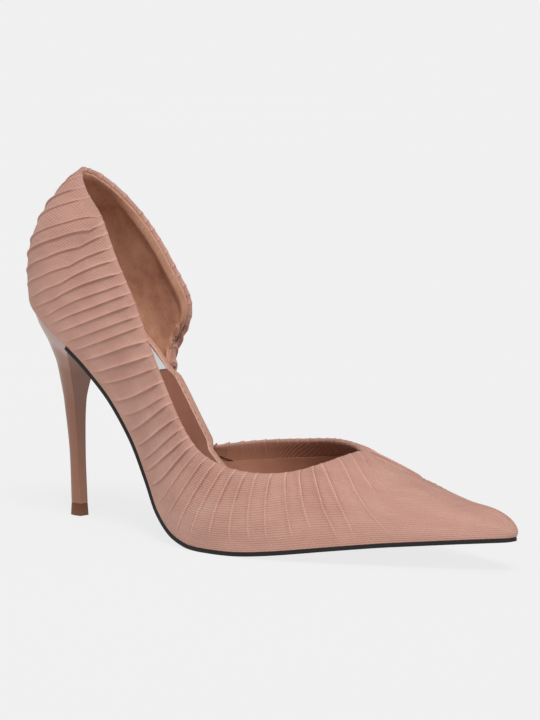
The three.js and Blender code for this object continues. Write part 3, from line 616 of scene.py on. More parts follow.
# %% Normals of the form
def form_frame(name, rib, share):
    """Points of the form with their outward normals and the directions along the net."""
    step = 0.004
    kin = FAMILIES[name]
    limit = kin["count"]
    left = np.clip(rib - step * 4, 0, limit)
    right = np.clip(rib + step * 4, 0, limit)
    low_side = np.clip(share - step, 0, 1)
    high_side = np.clip(share + step, 0, 1)
    points = on_form(name, rib, share)
    along = on_form(name, right, share) - on_form(name, left, share)
    up = on_form(name, rib, high_side) - on_form(name, rib, low_side)
    turn = 1 if name == "side" else -1
    normal = np.cross(along, up) * turn
    behind = np.clip((rib < 0.02) * 1.0, 0, 1) * (0 if name == "wing" else 1)
    normal[..., 1] *= 1 - behind
    size = np.linalg.norm(normal, axis=-1)[..., None]
    normal = normal / np.maximum(size, 1e-12)
    spacing = np.linalg.norm(along, axis=-1) / np.maximum(right - left, 1e-9)
    up = up / np.maximum(np.linalg.norm(up, axis=-1)[..., None], 1e-12)
    return points, normal, up, spacing


# %% [markdown]
# # Pleats
# A pleat runs from the topline to the sole's edge. We number the pleats and say, for a few
# of them, at which rib each starts and ends. Every other pleat lies between those, moved a
# little at random because they are laid by hand. Around the heel cup they sweep back over
# the seam, at the ball they stand upright, and at the throat they fan toward the toe.

# %% Key pleats: number, rib at the topline, rib at the sole's edge
SIDE_PLEATS = [
    (-2, 0.0, -3.2), (0, 0.6, -2.4), (4, 3.0, -0.8), (7, 3.75, 0.9), (9, 4.3, 2.2), (14, 5.5, 4.3),
    (20, 7.25, 6.8), (24, 8.9, 8.2), (28, 11.0, 10.9), (31, 12.4, 12.8), (34, 14.1, 14.6),
    (36, 14.9, 16.1), (37, 15.5, 18.3), (38, 16.2, 21.2), (39, 16.9, 24.5), (40, 17.6, 28),
    (44, 26, 45),
]
EAR_PLEATS = [
    (-2, 0.0, -3.2), (0, 0.6, -2.4), (4, 3.0, -0.8), (7, 4.0, 0.9), (9, 4.9, 2.2), (12, 6.2, 4.4),
    (14, 7.6, 6.6), (16, 9.3, 8.9), (18, 11.0, 10.8), (19, 11.9, 11.8),
]
WING_PLEATS = [
    (0, -0.2, -0.2), (4, 2.5, 2.2), (9, 5.3, 5.0), (14, 7.8, 7.8), (17, 9.2, 10.2),
    (18, 9.8, 12.4), (19, 10.4, 15.2), (20, 11.0, 18.5), (21, 11.8, 22), (25, 20, 40),
]
# How far up from the sole's edge each pleat ends, by pleat number
FADES = {
    "side": [(0, 0), (26, 0.02), (28, 0.1), (30, 0.12), (32, 0.1), (33, 0.2), (34, 0.08),
             (36, 0.02), (37, 0.35), (38, 0.42), (39, 0.5), (40, 2)],
    "ear": [(0, 0), (19, 0)],
    "wing": [(0, 0), (9, 0.05), (14, 0.15), (17, 0.1), (18, 0.35), (19, 0.5), (20, 2)],
}
PLEATS = {"side": SIDE_PLEATS, "ear": EAR_PLEATS, "wing": WING_PLEATS}
SEEDS = {"side": 7, "ear": 11, "wing": 23}
PLEAT_HEIGHT = 0.9      # of the fold's edge at the topline, in mm
PLEAT_LOW = 0.4          # share of that height left at the sole's edge
BAND = 2.5               # breadth of the raised band at the topline, in mm
BAND_LOW = 1.1           # the same at the sole's edge
ROLL_BEADS = {"side": 0.15, "ear": 0.3, "wing": 0.2}  # share of the height left at the fold
EDGE = 0.24              # breadth of the steep side of the fold, in mm


def smooth(x):
    x = np.clip(x, 0, 1)
    return x * x * (3 - 2 * x)


def irregular(name):
    """The pleats' numbers and their small random differences: place, turn, height, breadth."""
    keys = np.array(PLEATS[name], float)
    fine = np.arange(keys[0, 0], keys[-1, 0] + 1)
    rng = np.random.default_rng(SEEDS[name])
    count = len(fine)
    return (fine, rng.uniform(-0.13, 0.13, count), rng.uniform(-0.16, 0.16, count),
            rng.uniform(0.7, 1.15, count), rng.uniform(0.75, 1.25, count))


def pleat_number(name, rib, share):
    """The pleat's number at a rib and share; whole at the edge of a fold."""
    keys = np.array(PLEATS[name], float)
    fine, jitter, skew, _, _ = irregular(name)
    tops = np.interp(fine, keys[:, 0], keys[:, 1])
    feet = np.interp(fine, keys[:, 0], keys[:, 2])
    at_foot = np.interp(rib, feet, fine)
    p = at_foot + (np.interp(rib, tops, fine) - at_foot) * share
    return p + np.interp(p, fine, jitter) + np.interp(p, fine, skew) * (0.5 - share)


def pleat_lift(name, rib, share, spacing):
    """Height of the pleats in mm, their number, their breadth in mm and their strength."""
    fine, _, _, tall, broad = irregular(name)
    p = pleat_number(name, rib, share)
    step = 0.01
    change = np.abs(pleat_number(name, rib + step, share)
                    - pleat_number(name, rib - step, share)) / (2 * step)
    gap_mm = np.clip(spacing / np.maximum(change, 0.05), 1.5, 30)
    number = np.floor(p).astype(int)
    f = p - number
    k = np.clip(number - int(fine[0]), 0, len(fine) - 1)
    fade_keys = np.array(FADES[name], float)
    end = np.interp(number, fade_keys[:, 0], fade_keys[:, 1])
    low_share = smooth(share / 0.75)
    strength = smooth((share - end + 0.02) / 0.22)
    height = PLEAT_HEIGHT * (PLEAT_LOW + (1 - PLEAT_LOW) * low_share) * tall[k] * strength
    band = (BAND_LOW + (BAND - BAND_LOW) * low_share) * broad[k] / gap_mm
    band = np.clip(band, 0.05, 0.85)
    edge = np.clip(EDGE / gap_mm, 0.02, 0.3)
    rise = smooth((f - (1 - edge - band)) / band)
    fall = smooth((1 - f) / edge)
    lift = height * rise * fall
    flat_top = 1 - (1 - ROLL_BEADS[name]) * smooth((share - 0.9) / 0.08)
    nearest = np.round(p)
    k = np.clip(nearest.astype(int) - 1 - int(fine[0]), 0, len(fine) - 1)
    end = np.interp(nearest - 1, fade_keys[:, 0], fade_keys[:, 1])
    # line: how strongly the painted highlight and painted shade are drawn along each fold
    line = smooth((share - end + 0.02) / 0.22) * np.clip(tall[k], 0, 1) * (0.6 + 0.4 * share)
    return lift * flat_top, p, {"gap": gap_mm, "line": line}


# %% The open part of the net and its topline
ROLL = 1.15              # radius of the fold over the topline, in mm
SHEET = 0.5              # thickness of the pleated mesh with its cloth, in mm
TURN_IN = 8.0            # how far the fold goes down inside, in mm
ROLL_DROP = 0.8          # the fold's centre lies this share of its radius below the topline
ROWS_UP = 44
ROWS_ROLL = 9


ACROSS_PLEAT = np.array([0, 0.07, 0.2, 0.4, 0.58, 0.72, 0.84, 0.915, 0.96])


def pleat_columns(name, first, last):
    """Pleat numbers for the columns of a grid, closer together at each fold's edge."""
    ribs = np.linspace(first, last, 200)
    ends = np.concatenate([pleat_number(name, ribs, 0.0), pleat_number(name, ribs, 1.0)])
    whole = np.arange(np.floor(ends.min()), np.ceil(ends.max()) + 1)
    between = (whole[:, None] + ACROSS_PLEAT).ravel()
    between = between[(between > ends.min()) & (between < ends.max())]
    return np.concatenate([[ends.min()], between, [ends.max()]])


def along_pleats(name, first, last, u, v):
    """Ribs and shares for a grid whose columns follow the pleats from foot to topline."""
    numbers = pleat_columns(name, first, last)
    wanted = np.interp(u, np.linspace(0, 1, len(numbers)), numbers)
    table = np.linspace(first, last, 600)
    rib = np.empty(len(u))
    for height in np.unique(v):
        row = v == height
        rib[row] = np.interp(wanted[row], pleat_number(name, table, height), table)
    share = v * (1 - ROLL_DROP * roll_radius(name, rib) / rib_length(name, rib))
    step = 0.01
    change = (pleat_number(name, rib + step, share) - pleat_number(name, rib - step, share))
    better = rib + (wanted - pleat_number(name, rib, share)) * 2 * step / np.maximum(change, 0.01)
    inner = (rib > first + 1e-9) & (rib < last - 1e-9)
    rib = np.where(inner, np.clip(better, first, last), rib)
    return rib, v * (1 - ROLL_DROP * roll_radius(name, rib) / rib_length(name, rib))


def rib_length(name, rib):
    shares = np.linspace(0, 1, 12)
    run_points = on_form(name, rib[..., None], shares)
    return np.linalg.norm(np.diff(run_points, axis=-2), axis=-1).sum(-1)


def roll_radius(name, rib):
    """The fold gets tighter into the throat's corner."""
    last = FAMILIES[name]["open"]
    if name == "ear":
        return np.full_like(rib, ROLL)
    return ROLL * (0.25 + 0.75 * smooth((last - rib) / 1.2))


def open_rows(name, first, last):
    """The outer face below the topline: u runs along the ribs, v from foot to topline."""
    def place(u, v):
        rib, share = along_pleats(name, first, last, u, v)
        points, normal, _, spacing = form_frame(name, rib, share)
        lift, p, marks = pleat_lift(name, rib, share, spacing)
        uv = np.stack([p * PLEAT_UV, share * rib_length(name, rib)], -1)
        return points + normal * lift[:, None], uv, {**marks, "band": np.zeros(len(u))}
    return place


def crown_rows(name, first, last):
    """The closed toe: the rows reach the ridge, and the pleats run out over it."""
    def place(u, v):
        rib = first + (last - first) * u
        length = rib_length(name, rib)
        drop = np.where(u < 1e-9, ROLL_DROP * roll_radius(name, rib) / length, 0)
        share = v * (1 - drop)
        points, normal, _, spacing = form_frame(name, rib, share)
        lift, p, marks = pleat_lift(name, rib, share, spacing)
        lift = lift * (1 - smooth(rib - first) * 0.35)
        uv = np.stack([p * PLEAT_UV, share * length], -1)
        return points + normal * lift[:, None], uv, {**marks, "band": np.zeros(len(u))}
    return place


def roll_rows(name, first, last):
    """The fold over the topline and the part turned in, for the open part of the net."""
    def place(u, v):
        rib, share = along_pleats(name, first, last, u, np.ones(len(u)))
        length = rib_length(name, rib)
        radius = roll_radius(name, rib)
        turn_share = 0.55
        points, normal, up, spacing = form_frame(name, rib, share)
        lift, p, marks = pleat_lift(name, rib, share, spacing)
        angle = np.clip(v / turn_share, 0, 1) * np.pi
        reach = radius + lift
        over = up * (reach * np.sin(angle))[:, None]
        across = normal * (-radius + reach * np.cos(angle))[:, None]
        turn_in = np.minimum(TURN_IN, 0.4 * length)
        down_mm = np.clip((v - turn_share) / (1 - turn_share), 0, 1) * turn_in
        low_share = np.clip(share - down_mm / length, 0, 1)
        deep, deep_normal, _, _ = form_frame(name, rib, low_share)
        inside = deep - deep_normal * (2 * radius + lift * (1 - down_mm / turn_in))[:, None]
        is_down = (v > turn_share)[:, None]
        result = np.where(is_down, inside, points + over + across)
        uv = np.stack([p * PLEAT_UV, length + v * 10], -1)
        # where the strip turned in at the topline gets painted shade, full on the quarter and
        # vamp, a quarter as strong on the ear
        turned = smooth((v - 0.5) / 0.08) * (0.25 if name == "ear" else 1)
        return result, uv, {**marks, "band": turned}
    return place


# %% The pleated vamp and quarter
SEAM = 0.03              # rib share left free on each side of the back seam
CROWN_COLUMNS = 66


def pleated_piece(name, names, nodes):
    parts = []
    for kind in names:
        first = 0 if kind == "wing" else SEAM
        open_end = FAMILIES[kind]["open"]
        columns = len(pleat_columns(kind, first, open_end)) - 1
        parts.append(grid(f"{kind}_face", columns, ROWS_UP, open_rows(kind, first, open_end)))
        parts.append(grid(f"{kind}_fold", columns, ROWS_ROLL, roll_rows(kind, first, open_end)))
        if kind != "ear":
            crown_end = FAMILIES[kind]["count"]
            parts.append(grid(f"{kind}_crown", CROWN_COLUMNS, ROWS_UP,
                              crown_rows(kind, open_end, crown_end)))
    piece = join(parts, name)
    face_out(piece, away_from_last)
    area = face_area(piece)
    apply_modifier(piece, "SOLIDIFY", thickness=SHEET * MM, offset=-1, use_even_offset=False)
    finish_piece(piece, MESH_PINK, nodes, smooth=70)
    return piece, area


vamp, vamp_area = pleated_piece("pleated_vamp_and_quarter", ["side", "wing"],
                                ["upper_pleated_vamp"])
ear, ear_area = pleated_piece("pleated_ear", ["ear"], ["upper_pleated_ear"])
print("mesh areas, mm2", round(vamp_area / MM ** 2), round(ear_area / MM ** 2))


# %% [markdown]
# # Linings and hidden layers
# Inside, the heel is lined with suede and the forepart with glazed leather. The lining's
# edge is turned to a thin bead beside the topline. The cloth, the stiffeners and the tapes
# between the two faces follow the same form, so nothing shows through the lining.

# %% A layer at a depth below the outer face
LINING_DEPTH = 3.0       # mm below the outer face, to the lining's hidden side
LINING = 0.6
RIDGE_HEIGHT = 1.1       # of the padding under the suede along the topline, in mm
BEAD = 0.75              # radius of the lining's turned edge, in mm


def layer_rows(name, first, last, depth, low=0.0, high=1.0, stop_mm=0.0, padded=False):
    """A face parallel to the form, that stops stop_mm below the topline."""
    def place(u, v):
        rib = first + (last - first) * u
        length = rib_length(name, rib)
        is_open = rib <= FAMILIES[name]["open"] + 1e-6
        end = high - np.where(is_open, stop_mm / length, 0)
        if stop_mm and name != "ear":
            past = smooth((rib - FAMILIES[name]["open"]) / 0.6)
            end = np.where(is_open, end, high - stop_mm / length * (1 - past))
        share = low + (end - low) * v
        points, normal, _, _ = form_frame(name, rib, share)
        uv = np.stack([rib * 12.0, share * length], -1)
        if not padded:
            return points - normal * depth, uv, {"edge": np.zeros(len(u))}
        below = length * (end - share)
        # the edge value below paints a highlight on the padded ridge and painted shade in the
        # groove at the lining's edge
        ridge = smooth(below / 1.2) * (1 - smooth((below - 2.6) / 3.2)) * smooth((rib - 1) / 2)
        groove = 1 - smooth(below / 0.7)
        points = points - normal * (depth + RIDGE_HEIGHT * ridge)[:, None]
        return points, uv, {"edge": 0.75 * ridge - 0.9 * groove}
    return place


def bead_rows(name, first, last, depth, stop_mm):
    """The lining's rolled edge: half a turn out toward the topline's fold."""
    def place(u, v):
        rib = first + (last - first) * u
        length = rib_length(name, rib)
        share = 1 - stop_mm / length
        points, normal, up, _ = form_frame(name, rib, share)
        angle = v * np.pi
        centre = points - normal * (depth - BEAD)
        # starts on the lining's face, rises and comes back behind it
        rolled = centre + normal * (-BEAD * np.cos(angle))[:, None]
        rolled = rolled + up * (BEAD * np.sin(angle))[:, None]
        uv = np.stack([rib * 12.0, length + v * 2], -1)
        # the whole bead gets the painted highlight
        return rolled, uv, {"edge": np.full(len(u), 1.0)}
    return place


def inner_face(piece):
    """A lining's face looks into the shoe, so it is turned away from the form's outside."""
    face_out(piece, lambda points: -away_from_last(points))


STOP = 1.3               # the suede's bead lies this far below the topline, in mm
quarter = join([
    grid("q_side", 90, 30, layer_rows("side", 0, 8, LINING_DEPTH, stop_mm=STOP, padded=True)),
    grid("q_side_bead", 90, 6, bead_rows("side", 0, 8, LINING_DEPTH, STOP)),
    grid("q_ear", 120, 30, layer_rows("ear", 0, 11, LINING_DEPTH, stop_mm=STOP, padded=True)),
    grid("q_ear_bead", 120, 6, bead_rows("ear", 0, 11, LINING_DEPTH, STOP)),
], "suede_quarter_lining")
inner_face(quarter)
apply_modifier(quarter, "SOLIDIFY", thickness=LINING * MM, offset=-1)
finish_piece(quarter, SUEDE, ["quarter_lining"], smooth=60)

LINED_TO = 5             # ribs past the throat that the vamp's lining covers
forepart = join([
    grid("l_side", 80, 24, layer_rows("side", 8, THROAT, LINING_DEPTH, stop_mm=TURN_IN - 0.6)),
    grid("l_side_crown", 30, 24, layer_rows("side", THROAT, THROAT + LINED_TO, LINING_DEPTH,
                                            stop_mm=TURN_IN - 0.6)),
    grid("l_wing", 80, 24, layer_rows("wing", 0.4, WING_THROAT, LINING_DEPTH,
                                      stop_mm=TURN_IN - 0.6)),
    grid("l_wing_crown", 30, 24, layer_rows("wing", WING_THROAT, WING_THROAT + LINED_TO,
                                            LINING_DEPTH, stop_mm=TURN_IN - 0.6)),
], "glazed_vamp_lining")
inner_face(forepart)
apply_modifier(forepart, "SOLIDIFY", thickness=LINING * MM, offset=-1)
finish_piece(forepart, GLOSSY_LINING, ["vamp_lining"], smooth=60)

# %% Cloth, stiffeners and tapes between the faces
HIDDEN = [
    ("base_cloth_vamp", "upper_base_vamp", "base_cloth", BASE_CLOTH, 0.95, 0.4, [
        ("side", 0.1, 24, 0.02, 0.9), ("wing", 0.1, 18, 0.02, 0.88)]),
    ("base_cloth_ear", "upper_base_ear", "base_cloth", BASE_CLOTH, 0.95, 0.4, [
        ("ear", 0.1, 10.8, 0.02, 0.92)]),
    ("counter_shell", "heel_counter", "stiffener", STIFFENER, 1.7, 0.5, [
        ("side", 0, 7, 0.02, 0.85), ("ear", 0, 7, 0.02, 0.85)]),
    ("toe_puff_shell", "toe_puff", "stiffener", STIFFENER, 1.7, 0.5, [
        ("side", 19, 22, 0.2, 1.0), ("wing", 13, 16, 0.2, 1.0)]),
    ("side_tape", "topline_tape_side", "tape", TAPE, 1.6, 0.3, [("side", 8, 16.6, 0.7, 0.88)]),
    ("wing_tape", "topline_tape_wing", "tape", TAPE, 1.6, 0.3, [("wing", 1, 10.4, 0.6, 0.78)]),
]
for name, cad_node, slot, finish, depth, thick, windows in HIDDEN:
    shell = join([
        grid(f"{name}_{k}", 60, 16, layer_rows(kind, first, last, depth, low, high))
        for k, (kind, first, last, low, high) in enumerate(windows)
    ], name)
    face_out(shell, away_from_last)
    apply_modifier(shell, "SOLIDIFY", thickness=thick * MM, offset=-1)
    finish_piece(shell, finish, [cad_node])


# %% [markdown]
# # The sole's outline
# The sock, the rim's binding and the outsole share one outline: the feet of the ribs. Each
# is this outline moved in or out by its own margin, and laid at its own height.

# %% The outline and its breadths
STEPS = 240
shares = np.arange(STEPS) / STEPS
inner_feet = [r[:2] for r in EAR_RIBS[:9]] + [(38, 19.4)] + [r[:2] for r in WING_RIBS]
inner_feet = inner_feet + [row[2:4] for row in CROWN[1:]]
outline = np.vstack([
    curve([f[:2] for f in FAMILIES["side"]["feet"]], shares),
    curve(inner_feet, 1 - shares),
])


def edges(inset):
    """Stations and breadths of the outline moved in by inset: outer run, then inner run."""
    ahead = np.roll(outline, -1, axis=0) - np.roll(outline, 1, axis=0)
    ahead /= np.linalg.norm(ahead, axis=1)[:, None]
    moved = outline + np.stack([-ahead[:, 1], ahead[:, 0]], -1) * inset
    away = np.linalg.norm(moved[:, None] - outline[None], axis=-1).min(1)
    moved = moved[away > abs(inset) - 0.02]
    moved = np.roll(moved, -int(moved[:, 0].argmin()), axis=0)
    turn = int(moved[:, 0].argmax())
    outer = moved[:turn + 1]
    inner = np.vstack([moved[turn:], moved[:1]])[::-1]
    return outer, inner


def breadth(run_points, x):
    grown = np.maximum.accumulate(run_points[:, 0])
    return np.interp(x, grown, run_points[:, 1])


def sole_rows(inset, start, end, height, low_side=0.0, high_side=1.0, dish=0.0, ease=0.0):
    """A face along the sole between two stations, and between two shares of its breadth."""
    outer, inner = edges(inset)
    start = max(start, outer[0, 0])
    end = min(end, outer[:, 0].max())

    def place(u, v):
        # stations gather toward round ends
        share = u if not ease else (1 - ease) * u + ease * (1 - np.cos(np.pi * u)) / 2
        x = start + (end - start) * share
        near = breadth(outer, x)
        far = breadth(inner, x)
        w = low_side + (high_side - low_side) * v
        y = near + (far - near) * w
        rim = (2 * w - 1) ** 4
        points = on_sole(x, y, height + dish * rim)
        uv = np.stack([x, y], -1)
        return points, uv, {}
    return place


def upward(points):
    return sole_at(points[:, 0])[1]


# %% Sock lining and its label
SOCK_INSET = 3.25
SOCK_THICK = 0.8
LABEL_LIFT = 0.55        # the label's face above the sock's edge, in mm
LABEL_THICK = 0.35
sock = join([grid("sock", 150, 30, sole_rows(SOCK_INSET, -30, 190, SOCK_TOP, dish=0.35,
                                             ease=0.9))], "sock_lining_sheet")
face_out(sock, upward)
apply_modifier(sock, "SOLIDIFY", thickness=SOCK_THICK * MM, offset=-1)
finish_piece(sock, SOCK_LEATHER, ["sock_lining"])

LABEL = (17, 30, 13.5)   # stations of its ends, and half its breadth


def label_rows(u, v):
    x = LABEL[0] + (LABEL[1] - LABEL[0]) * u
    y = LABEL[2] * (2 * v - 1)
    return on_sole(x, y, SOCK_TOP + LABEL_LIFT), np.stack([x, y], -1), {}


label = join([grid("label", 24, 24, label_rows)], "blank_foil_label")
face_out(label, upward)
apply_modifier(label, "SOLIDIFY", thickness=LABEL_THICK * MM, offset=-1)
apply_modifier(label, "BEVEL", width=0.1 * MM, segments=2, limit_method="ANGLE")
finish_piece(label, LABEL_FOIL, ["sock_label"])

# %% Binding of the open waist's rim, with its stitches
RIM = (6, 64)            # stations where the binding starts and ends
RIM_BREADTH = 4.6
RIM_SETBACK = 0.15       # the binding's outer face lies inside the outline by this
RIM_THICK = 0.5
_, rim_inner = edges(RIM_SETBACK)


def rim_rows(u, v):
    """Over the edge of the footbed: up the wall, round, then in over the sock."""
    x = RIM[0] + (RIM[1] - RIM[0]) * u
    edge = breadth(rim_inner, x)
    wall = 0.28
    on_wall = v < wall
    in_share = np.clip((v - wall) / (1 - wall), 0, 1)
    open_waist = smooth((x - 29) / 4) * smooth((54 - x) / 4)
    outside = edge - 3.0 * (1 - open_waist)
    y = np.where(on_wall, outside, outside - (RIM_BREADTH - 1.2 * (1 - open_waist)) * in_share)
    crown_lift = 0.75 * np.sin(np.pi * np.clip(in_share * 1.1, 0, 1)) ** 0.6
    height = np.where(on_wall, FEATHER + (SOCK_TOP + 0.1 - FEATHER) * v / wall,
                      SOCK_TOP + 0.1 + crown_lift)
    return on_sole(x, y, height), np.stack([x, v * 9], -1), {}


rim = join([grid("rim", 110, 22, rim_rows)], "rim_binding")
face_out(rim, lambda points: upward(points) + np.array([0, 0.4, 0]))
apply_modifier(rim, "SOLIDIFY", thickness=RIM_THICK * MM, offset=-1)
finish_piece(rim, RIM_LEATHER, ["insole_rim_wrap"], smooth=60)

STITCH = 1.1             # length of a stitch, in mm
STITCH_STEP = 1.9
THREAD_RADIUS = 0.1
STITCH_IN = 1.2          # from the binding's inner edge
STITCH_LIFT = 0.72       # height of a stitch's middle above the sock's edge
STITCH_SINK = 0.4        # how far its two ends sink into the leather


def stitch_at(x):
    """A thread's short loop, made from a cylinder, bent down at its two ends."""
    open_waist = smooth((x - 29) / 4) * smooth((54 - x) / 4)
    y = breadth(rim_inner, x) - 3.0 * (1 - open_waist) - RIM_BREADTH + STITCH_IN
    y = y + 1.2 * (1 - open_waist)
    deselect()
    bpy.ops.mesh.primitive_cylinder_add(vertices=8, radius=THREAD_RADIUS * MM,
                                        depth=STITCH * MM, end_fill_type="TRIFAN")
    made = bpy.context.object
    bpy.ops.object.mode_set(mode="EDIT")
    bpy.ops.mesh.select_all(action="SELECT")
    bpy.ops.mesh.subdivide(number_cuts=2)
    bpy.ops.object.mode_set(mode="OBJECT")
    mesh = made.data
    co = vertex_places(mesh) / MM
    share = co[:, 2] / (STITCH / 2)
    stations_of = x + co[:, 2]
    points = on_sole(stations_of, y + co[:, 1], SOCK_TOP + STITCH_LIFT + co[:, 0]
                     - STITCH_SINK * share ** 4)
    mesh.vertices.foreach_set("co", to_frame(points).ravel())
    return made


stitches = [stitch_at(x) for x in np.arange(RIM[0] + 3, RIM[1] - 3, STITCH_STEP)]
thread = join(stitches, "rim_stitches")
finish_piece(thread, THREAD, smooth=60)


# %% [markdown]
# # Outsole
# A moulded sheet, hardly wider than the upper, with a slightly rounded edge. We lay a
# grid on the sole's underside, thicken it, then bevel its rim.

# %% Outsole
BREAST = 12.6            # station of the heel's front face, where the outsole ends
outsole = join([grid("outsole_face", 170, 24, sole_rows(
    -OUTSOLE_MARGIN, BREAST + 0.3, 240, 0.0, ease=0.92))], "outsole_sheet")
face_out(outsole, lambda points: -upward(points))
apply_modifier(outsole, "SOLIDIFY", thickness=OUTSOLE * MM, offset=-1, use_even_offset=False)
apply_modifier(outsole, "BEVEL", width=0.55 * MM, segments=3, limit_method="ANGLE",
               angle_limit=math.radians(50))
finish_piece(outsole, OUTSOLE_BLACK, ["outsole"], smooth=35)


# %% [markdown]
# # Heel and top piece
# The heel is moulded in ABS and lacquered. Seen from below it is a D: a flat breast and a
# round back. We add a cylinder, cut it into rings, and give each ring its own D. Then the
# corners get a small bevel, which catches the light as the lacquer does.

# %% Sections of the heel: share of the height, back, breast, half width, squareness
HEEL_SECTIONS = [
    (0, TIP[0], TIP[1], TIP[2], 3), (0.3, -4.8, 1.5, 2.3, 3), (0.58, -7.4, 1, 3.55, 2.9),
    (0.76, -9.7, 2.1, 6.95, 2.7), (0.87, -12.8, 4.8, 11.15, 2.7), (0.95, -16.7, 8.5, 15.8, 2.6),
]
HEEL_BOTTOM = TIP_HEIGHT + 0.3
SEAT_MARGIN = 0.6
HEEL_SIDES = 96
HEEL_RINGS = 56
seat_outer, seat_inner = edges(SEAT_MARGIN)


def side_turn(co):
    """The turn, from 0 to 1, of the cylinder's side that each point lies on."""
    turn = (np.arctan2(co[:, 1], co[:, 0]) / (2 * np.pi)) % 1.0
    return np.round(turn * HEEL_SIDES) / HEEL_SIDES % 1.0


def d_shape(turn, back, front, half, power):
    """Points of a D at turns from 0 to 1: half the turn is the back, half the flat breast."""
    on_back = turn < 0.75
    angle = np.where(on_back, -np.pi / 2 + np.pi * turn / 0.75, 0)
    reach = np.abs(np.cos(angle)) ** (2 / power)
    spread = np.abs(np.sin(angle)) ** (2 / power) * np.sign(np.sin(angle))
    flat = 1 - 2 * (turn - 0.75) / 0.25
    x = np.where(on_back, front - (front - back) * reach, front)
    y = np.where(on_back, half * spread, half * flat)
    return x, y


def heel_points(turn, level):
    table = np.array(HEEL_SECTIONS, float)
    top_share = table[-1, 0]
    share = np.minimum(level, top_share)
    fine = curve(table[:, 1:], np.interp(share, table[:, 0], np.linspace(0, 1, len(table))))
    back, front, half, power = (fine[..., k] for k in range(4))
    x, y = d_shape(turn, back, front, half, power)
    tilt = np.maximum(0, share - 0.5) * 2
    slope = -sole_at(np.zeros(1))[1][0, 0] / sole_at(np.zeros(1))[1][0, 2]
    rise_to = float(sole_at(np.array([-2.0]))[0][0])
    z = HEEL_BOTTOM + (rise_to - HEEL_BOTTOM) * share + (x - (back + front) / 2) * slope * tilt
    section = np.stack([x, y, z], -1)
    # the last ring lies on the sole's outline
    run_length = BREAST - seat_outer[0, 0]
    on_back = turn < 0.75
    angle = np.where(on_back, -np.pi / 2 + np.pi * turn / 0.75, 0)
    seat_x = np.where(on_back, BREAST - run_length * np.abs(np.cos(angle)) ** 0.8, BREAST)
    seat_y = np.where(angle < 0, breadth(seat_outer, seat_x), breadth(seat_inner, seat_x))
    flat = (turn - 0.75) / 0.25
    far = breadth(seat_inner, np.full_like(turn, BREAST))
    near = breadth(seat_outer, np.full_like(turn, BREAST))
    seat_y = np.where(on_back, seat_y, far + (near - far) * flat)
    seat = on_sole(seat_x, seat_y, OUTSOLE)
    w = np.clip((level - top_share) / (1 - top_share), 0, 1)[:, None]
    return section * (1 - w) + seat * w


deselect()
bpy.ops.mesh.primitive_cylinder_add(vertices=HEEL_SIDES, radius=1, depth=1,
                                    end_fill_type="NGON", location=(0, 0, 0))
heel = bpy.context.object
heel.name = "lacquered_heel"
bpy.ops.object.mode_set(mode="EDIT")
for k in range(1, HEEL_RINGS):
    bpy.ops.mesh.select_all(action="SELECT")
    bpy.ops.mesh.bisect(plane_co=(0, 0, -0.5 + k / HEEL_RINGS), plane_no=(0, 0, 1))
bpy.ops.object.mode_set(mode="OBJECT")
mesh = heel.data
co = vertex_places(mesh)
mesh.vertices.foreach_set("co", to_frame(heel_points(side_turn(co), co[:, 2] + 0.5)).ravel())
mesh.update()
heel = join([heel], "lacquered_heel")
apply_modifier(heel, "BEVEL", width=0.25 * MM, segments=3, limit_method="ANGLE",
               angle_limit=math.radians(40))
finish_piece(heel, LACQUER, ["heel_body"], smooth=35)

# %% Top piece
deselect()
bpy.ops.mesh.primitive_cylinder_add(vertices=HEEL_SIDES, radius=1, depth=1,
                                    end_fill_type="NGON", location=(0, 0, 0))
tip = bpy.context.object
mesh = tip.data
co = vertex_places(mesh)
turn = side_turn(co)
flare = TIP_FLARE * (0.5 - co[:, 2])
tip_x, tip_y = d_shape(turn, TIP[0] - flare, TIP[1] + flare, TIP[2] + flare, 3)
tip_z = (co[:, 2] + 0.5) * (HEEL_BOTTOM - 0.02)
mesh.vertices.foreach_set("co", to_frame(np.stack([tip_x, tip_y, tip_z], -1)).ravel())
mesh.update()
tip = join([tip], "polyurethane_top_piece")
apply_modifier(tip, "BEVEL", width=0.22 * MM, segments=3, limit_method="ANGLE",
               angle_limit=math.radians(40))
finish_piece(tip, TIP_RUBBER, ["top_piece"], smooth=35)


# %% [markdown]
# # The pieces inside
# The nails, the screw, the shank and the boards stay as the frame holds them. They can't
# be seen in a whole shoe, but each gets the finish of what it is made of.

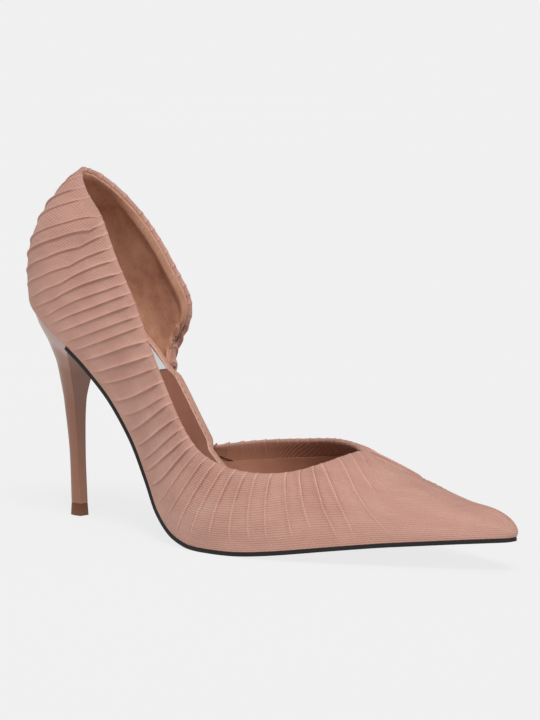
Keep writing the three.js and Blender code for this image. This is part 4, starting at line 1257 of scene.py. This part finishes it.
# %% Finishes of the frame's own nodes
OWN = {
    "heel_tube": STEEL, "top_piece_dowel": STEEL, "heel_screw": STEEL, "steel_shank": STEEL,
    "shank_board": BOARD, "forepart_filler": BOARD, "insole_board": BOARD,
    "footbed_foam": FOAM,
}
for k in range(1, 5):
    OWN[f"heel_nail_{k}"] = STEEL
for k in (1, 2):
    OWN[f"shank_rivet_{k}"] = STEEL
for name, finish in OWN.items():
    for slot_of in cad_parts[name].material_slots:
        slot_of.material = finish
print("finished frame nodes", len(OWN))


# %% [markdown]


# %% [markdown]
# # Light
# Soft light from all around, as from a white tent on a light table, with a broad key light
# from high on the camera's side and a weak, low one from nearer the toe. Broad lights draw
# long soft highlights on the lacquer, and leave only a faint shadow on the floor.

# %% The tent and its lights
FLOOR_GLOW = 0.795       # light that the table gives by itself
TENT_GLOW = 0.34         # light from the tent's cloth all around
FLOOR = plain_finish("light_table_acrylic", "#505050", "#525252", 0.9, 2)
FLOOR_SHADER = FLOOR.node_tree.nodes["Principled BSDF"]
FLOOR_SHADER.inputs["Emission Color"].default_value = (1, 1, 1, 1)
FLOOR_SHADER.inputs["Emission Strength"].default_value = FLOOR_GLOW
FLOOR_SHADER.inputs["Specular IOR Level"].default_value = 0.0
floor.data.materials.append(FLOOR)
world = bpy.data.worlds.new("tent")
world.use_nodes = True
world.node_tree.nodes["Background"].inputs["Color"].default_value = (1, 1, 1, 1)
world.node_tree.nodes["Background"].inputs["Strength"].default_value = TENT_GLOW
bpy.context.scene.world = world
bpy.context.scene.view_settings.view_transform = "Standard"


def sun(name, azimuth, elevation, strength, spread):
    """A broad light from an azimuth and an elevation, in degrees, as is its spread."""
    data = bpy.data.lights.new(name, "SUN")
    data.energy = strength
    data.angle = math.radians(spread)
    lamp = bpy.data.objects.new(name, data)
    bpy.context.collection.objects.link(lamp)
    a, e = math.radians(azimuth), math.radians(elevation)
    toward = Vector((math.sin(a) * math.cos(e), -math.cos(a) * math.cos(e), math.sin(e)))
    lamp.rotation_euler = toward.to_track_quat("Z", "Y").to_euler()


sun("key", 45, 60, 2.1, 25)
sun("front", 62, 20, 0.3, 40)
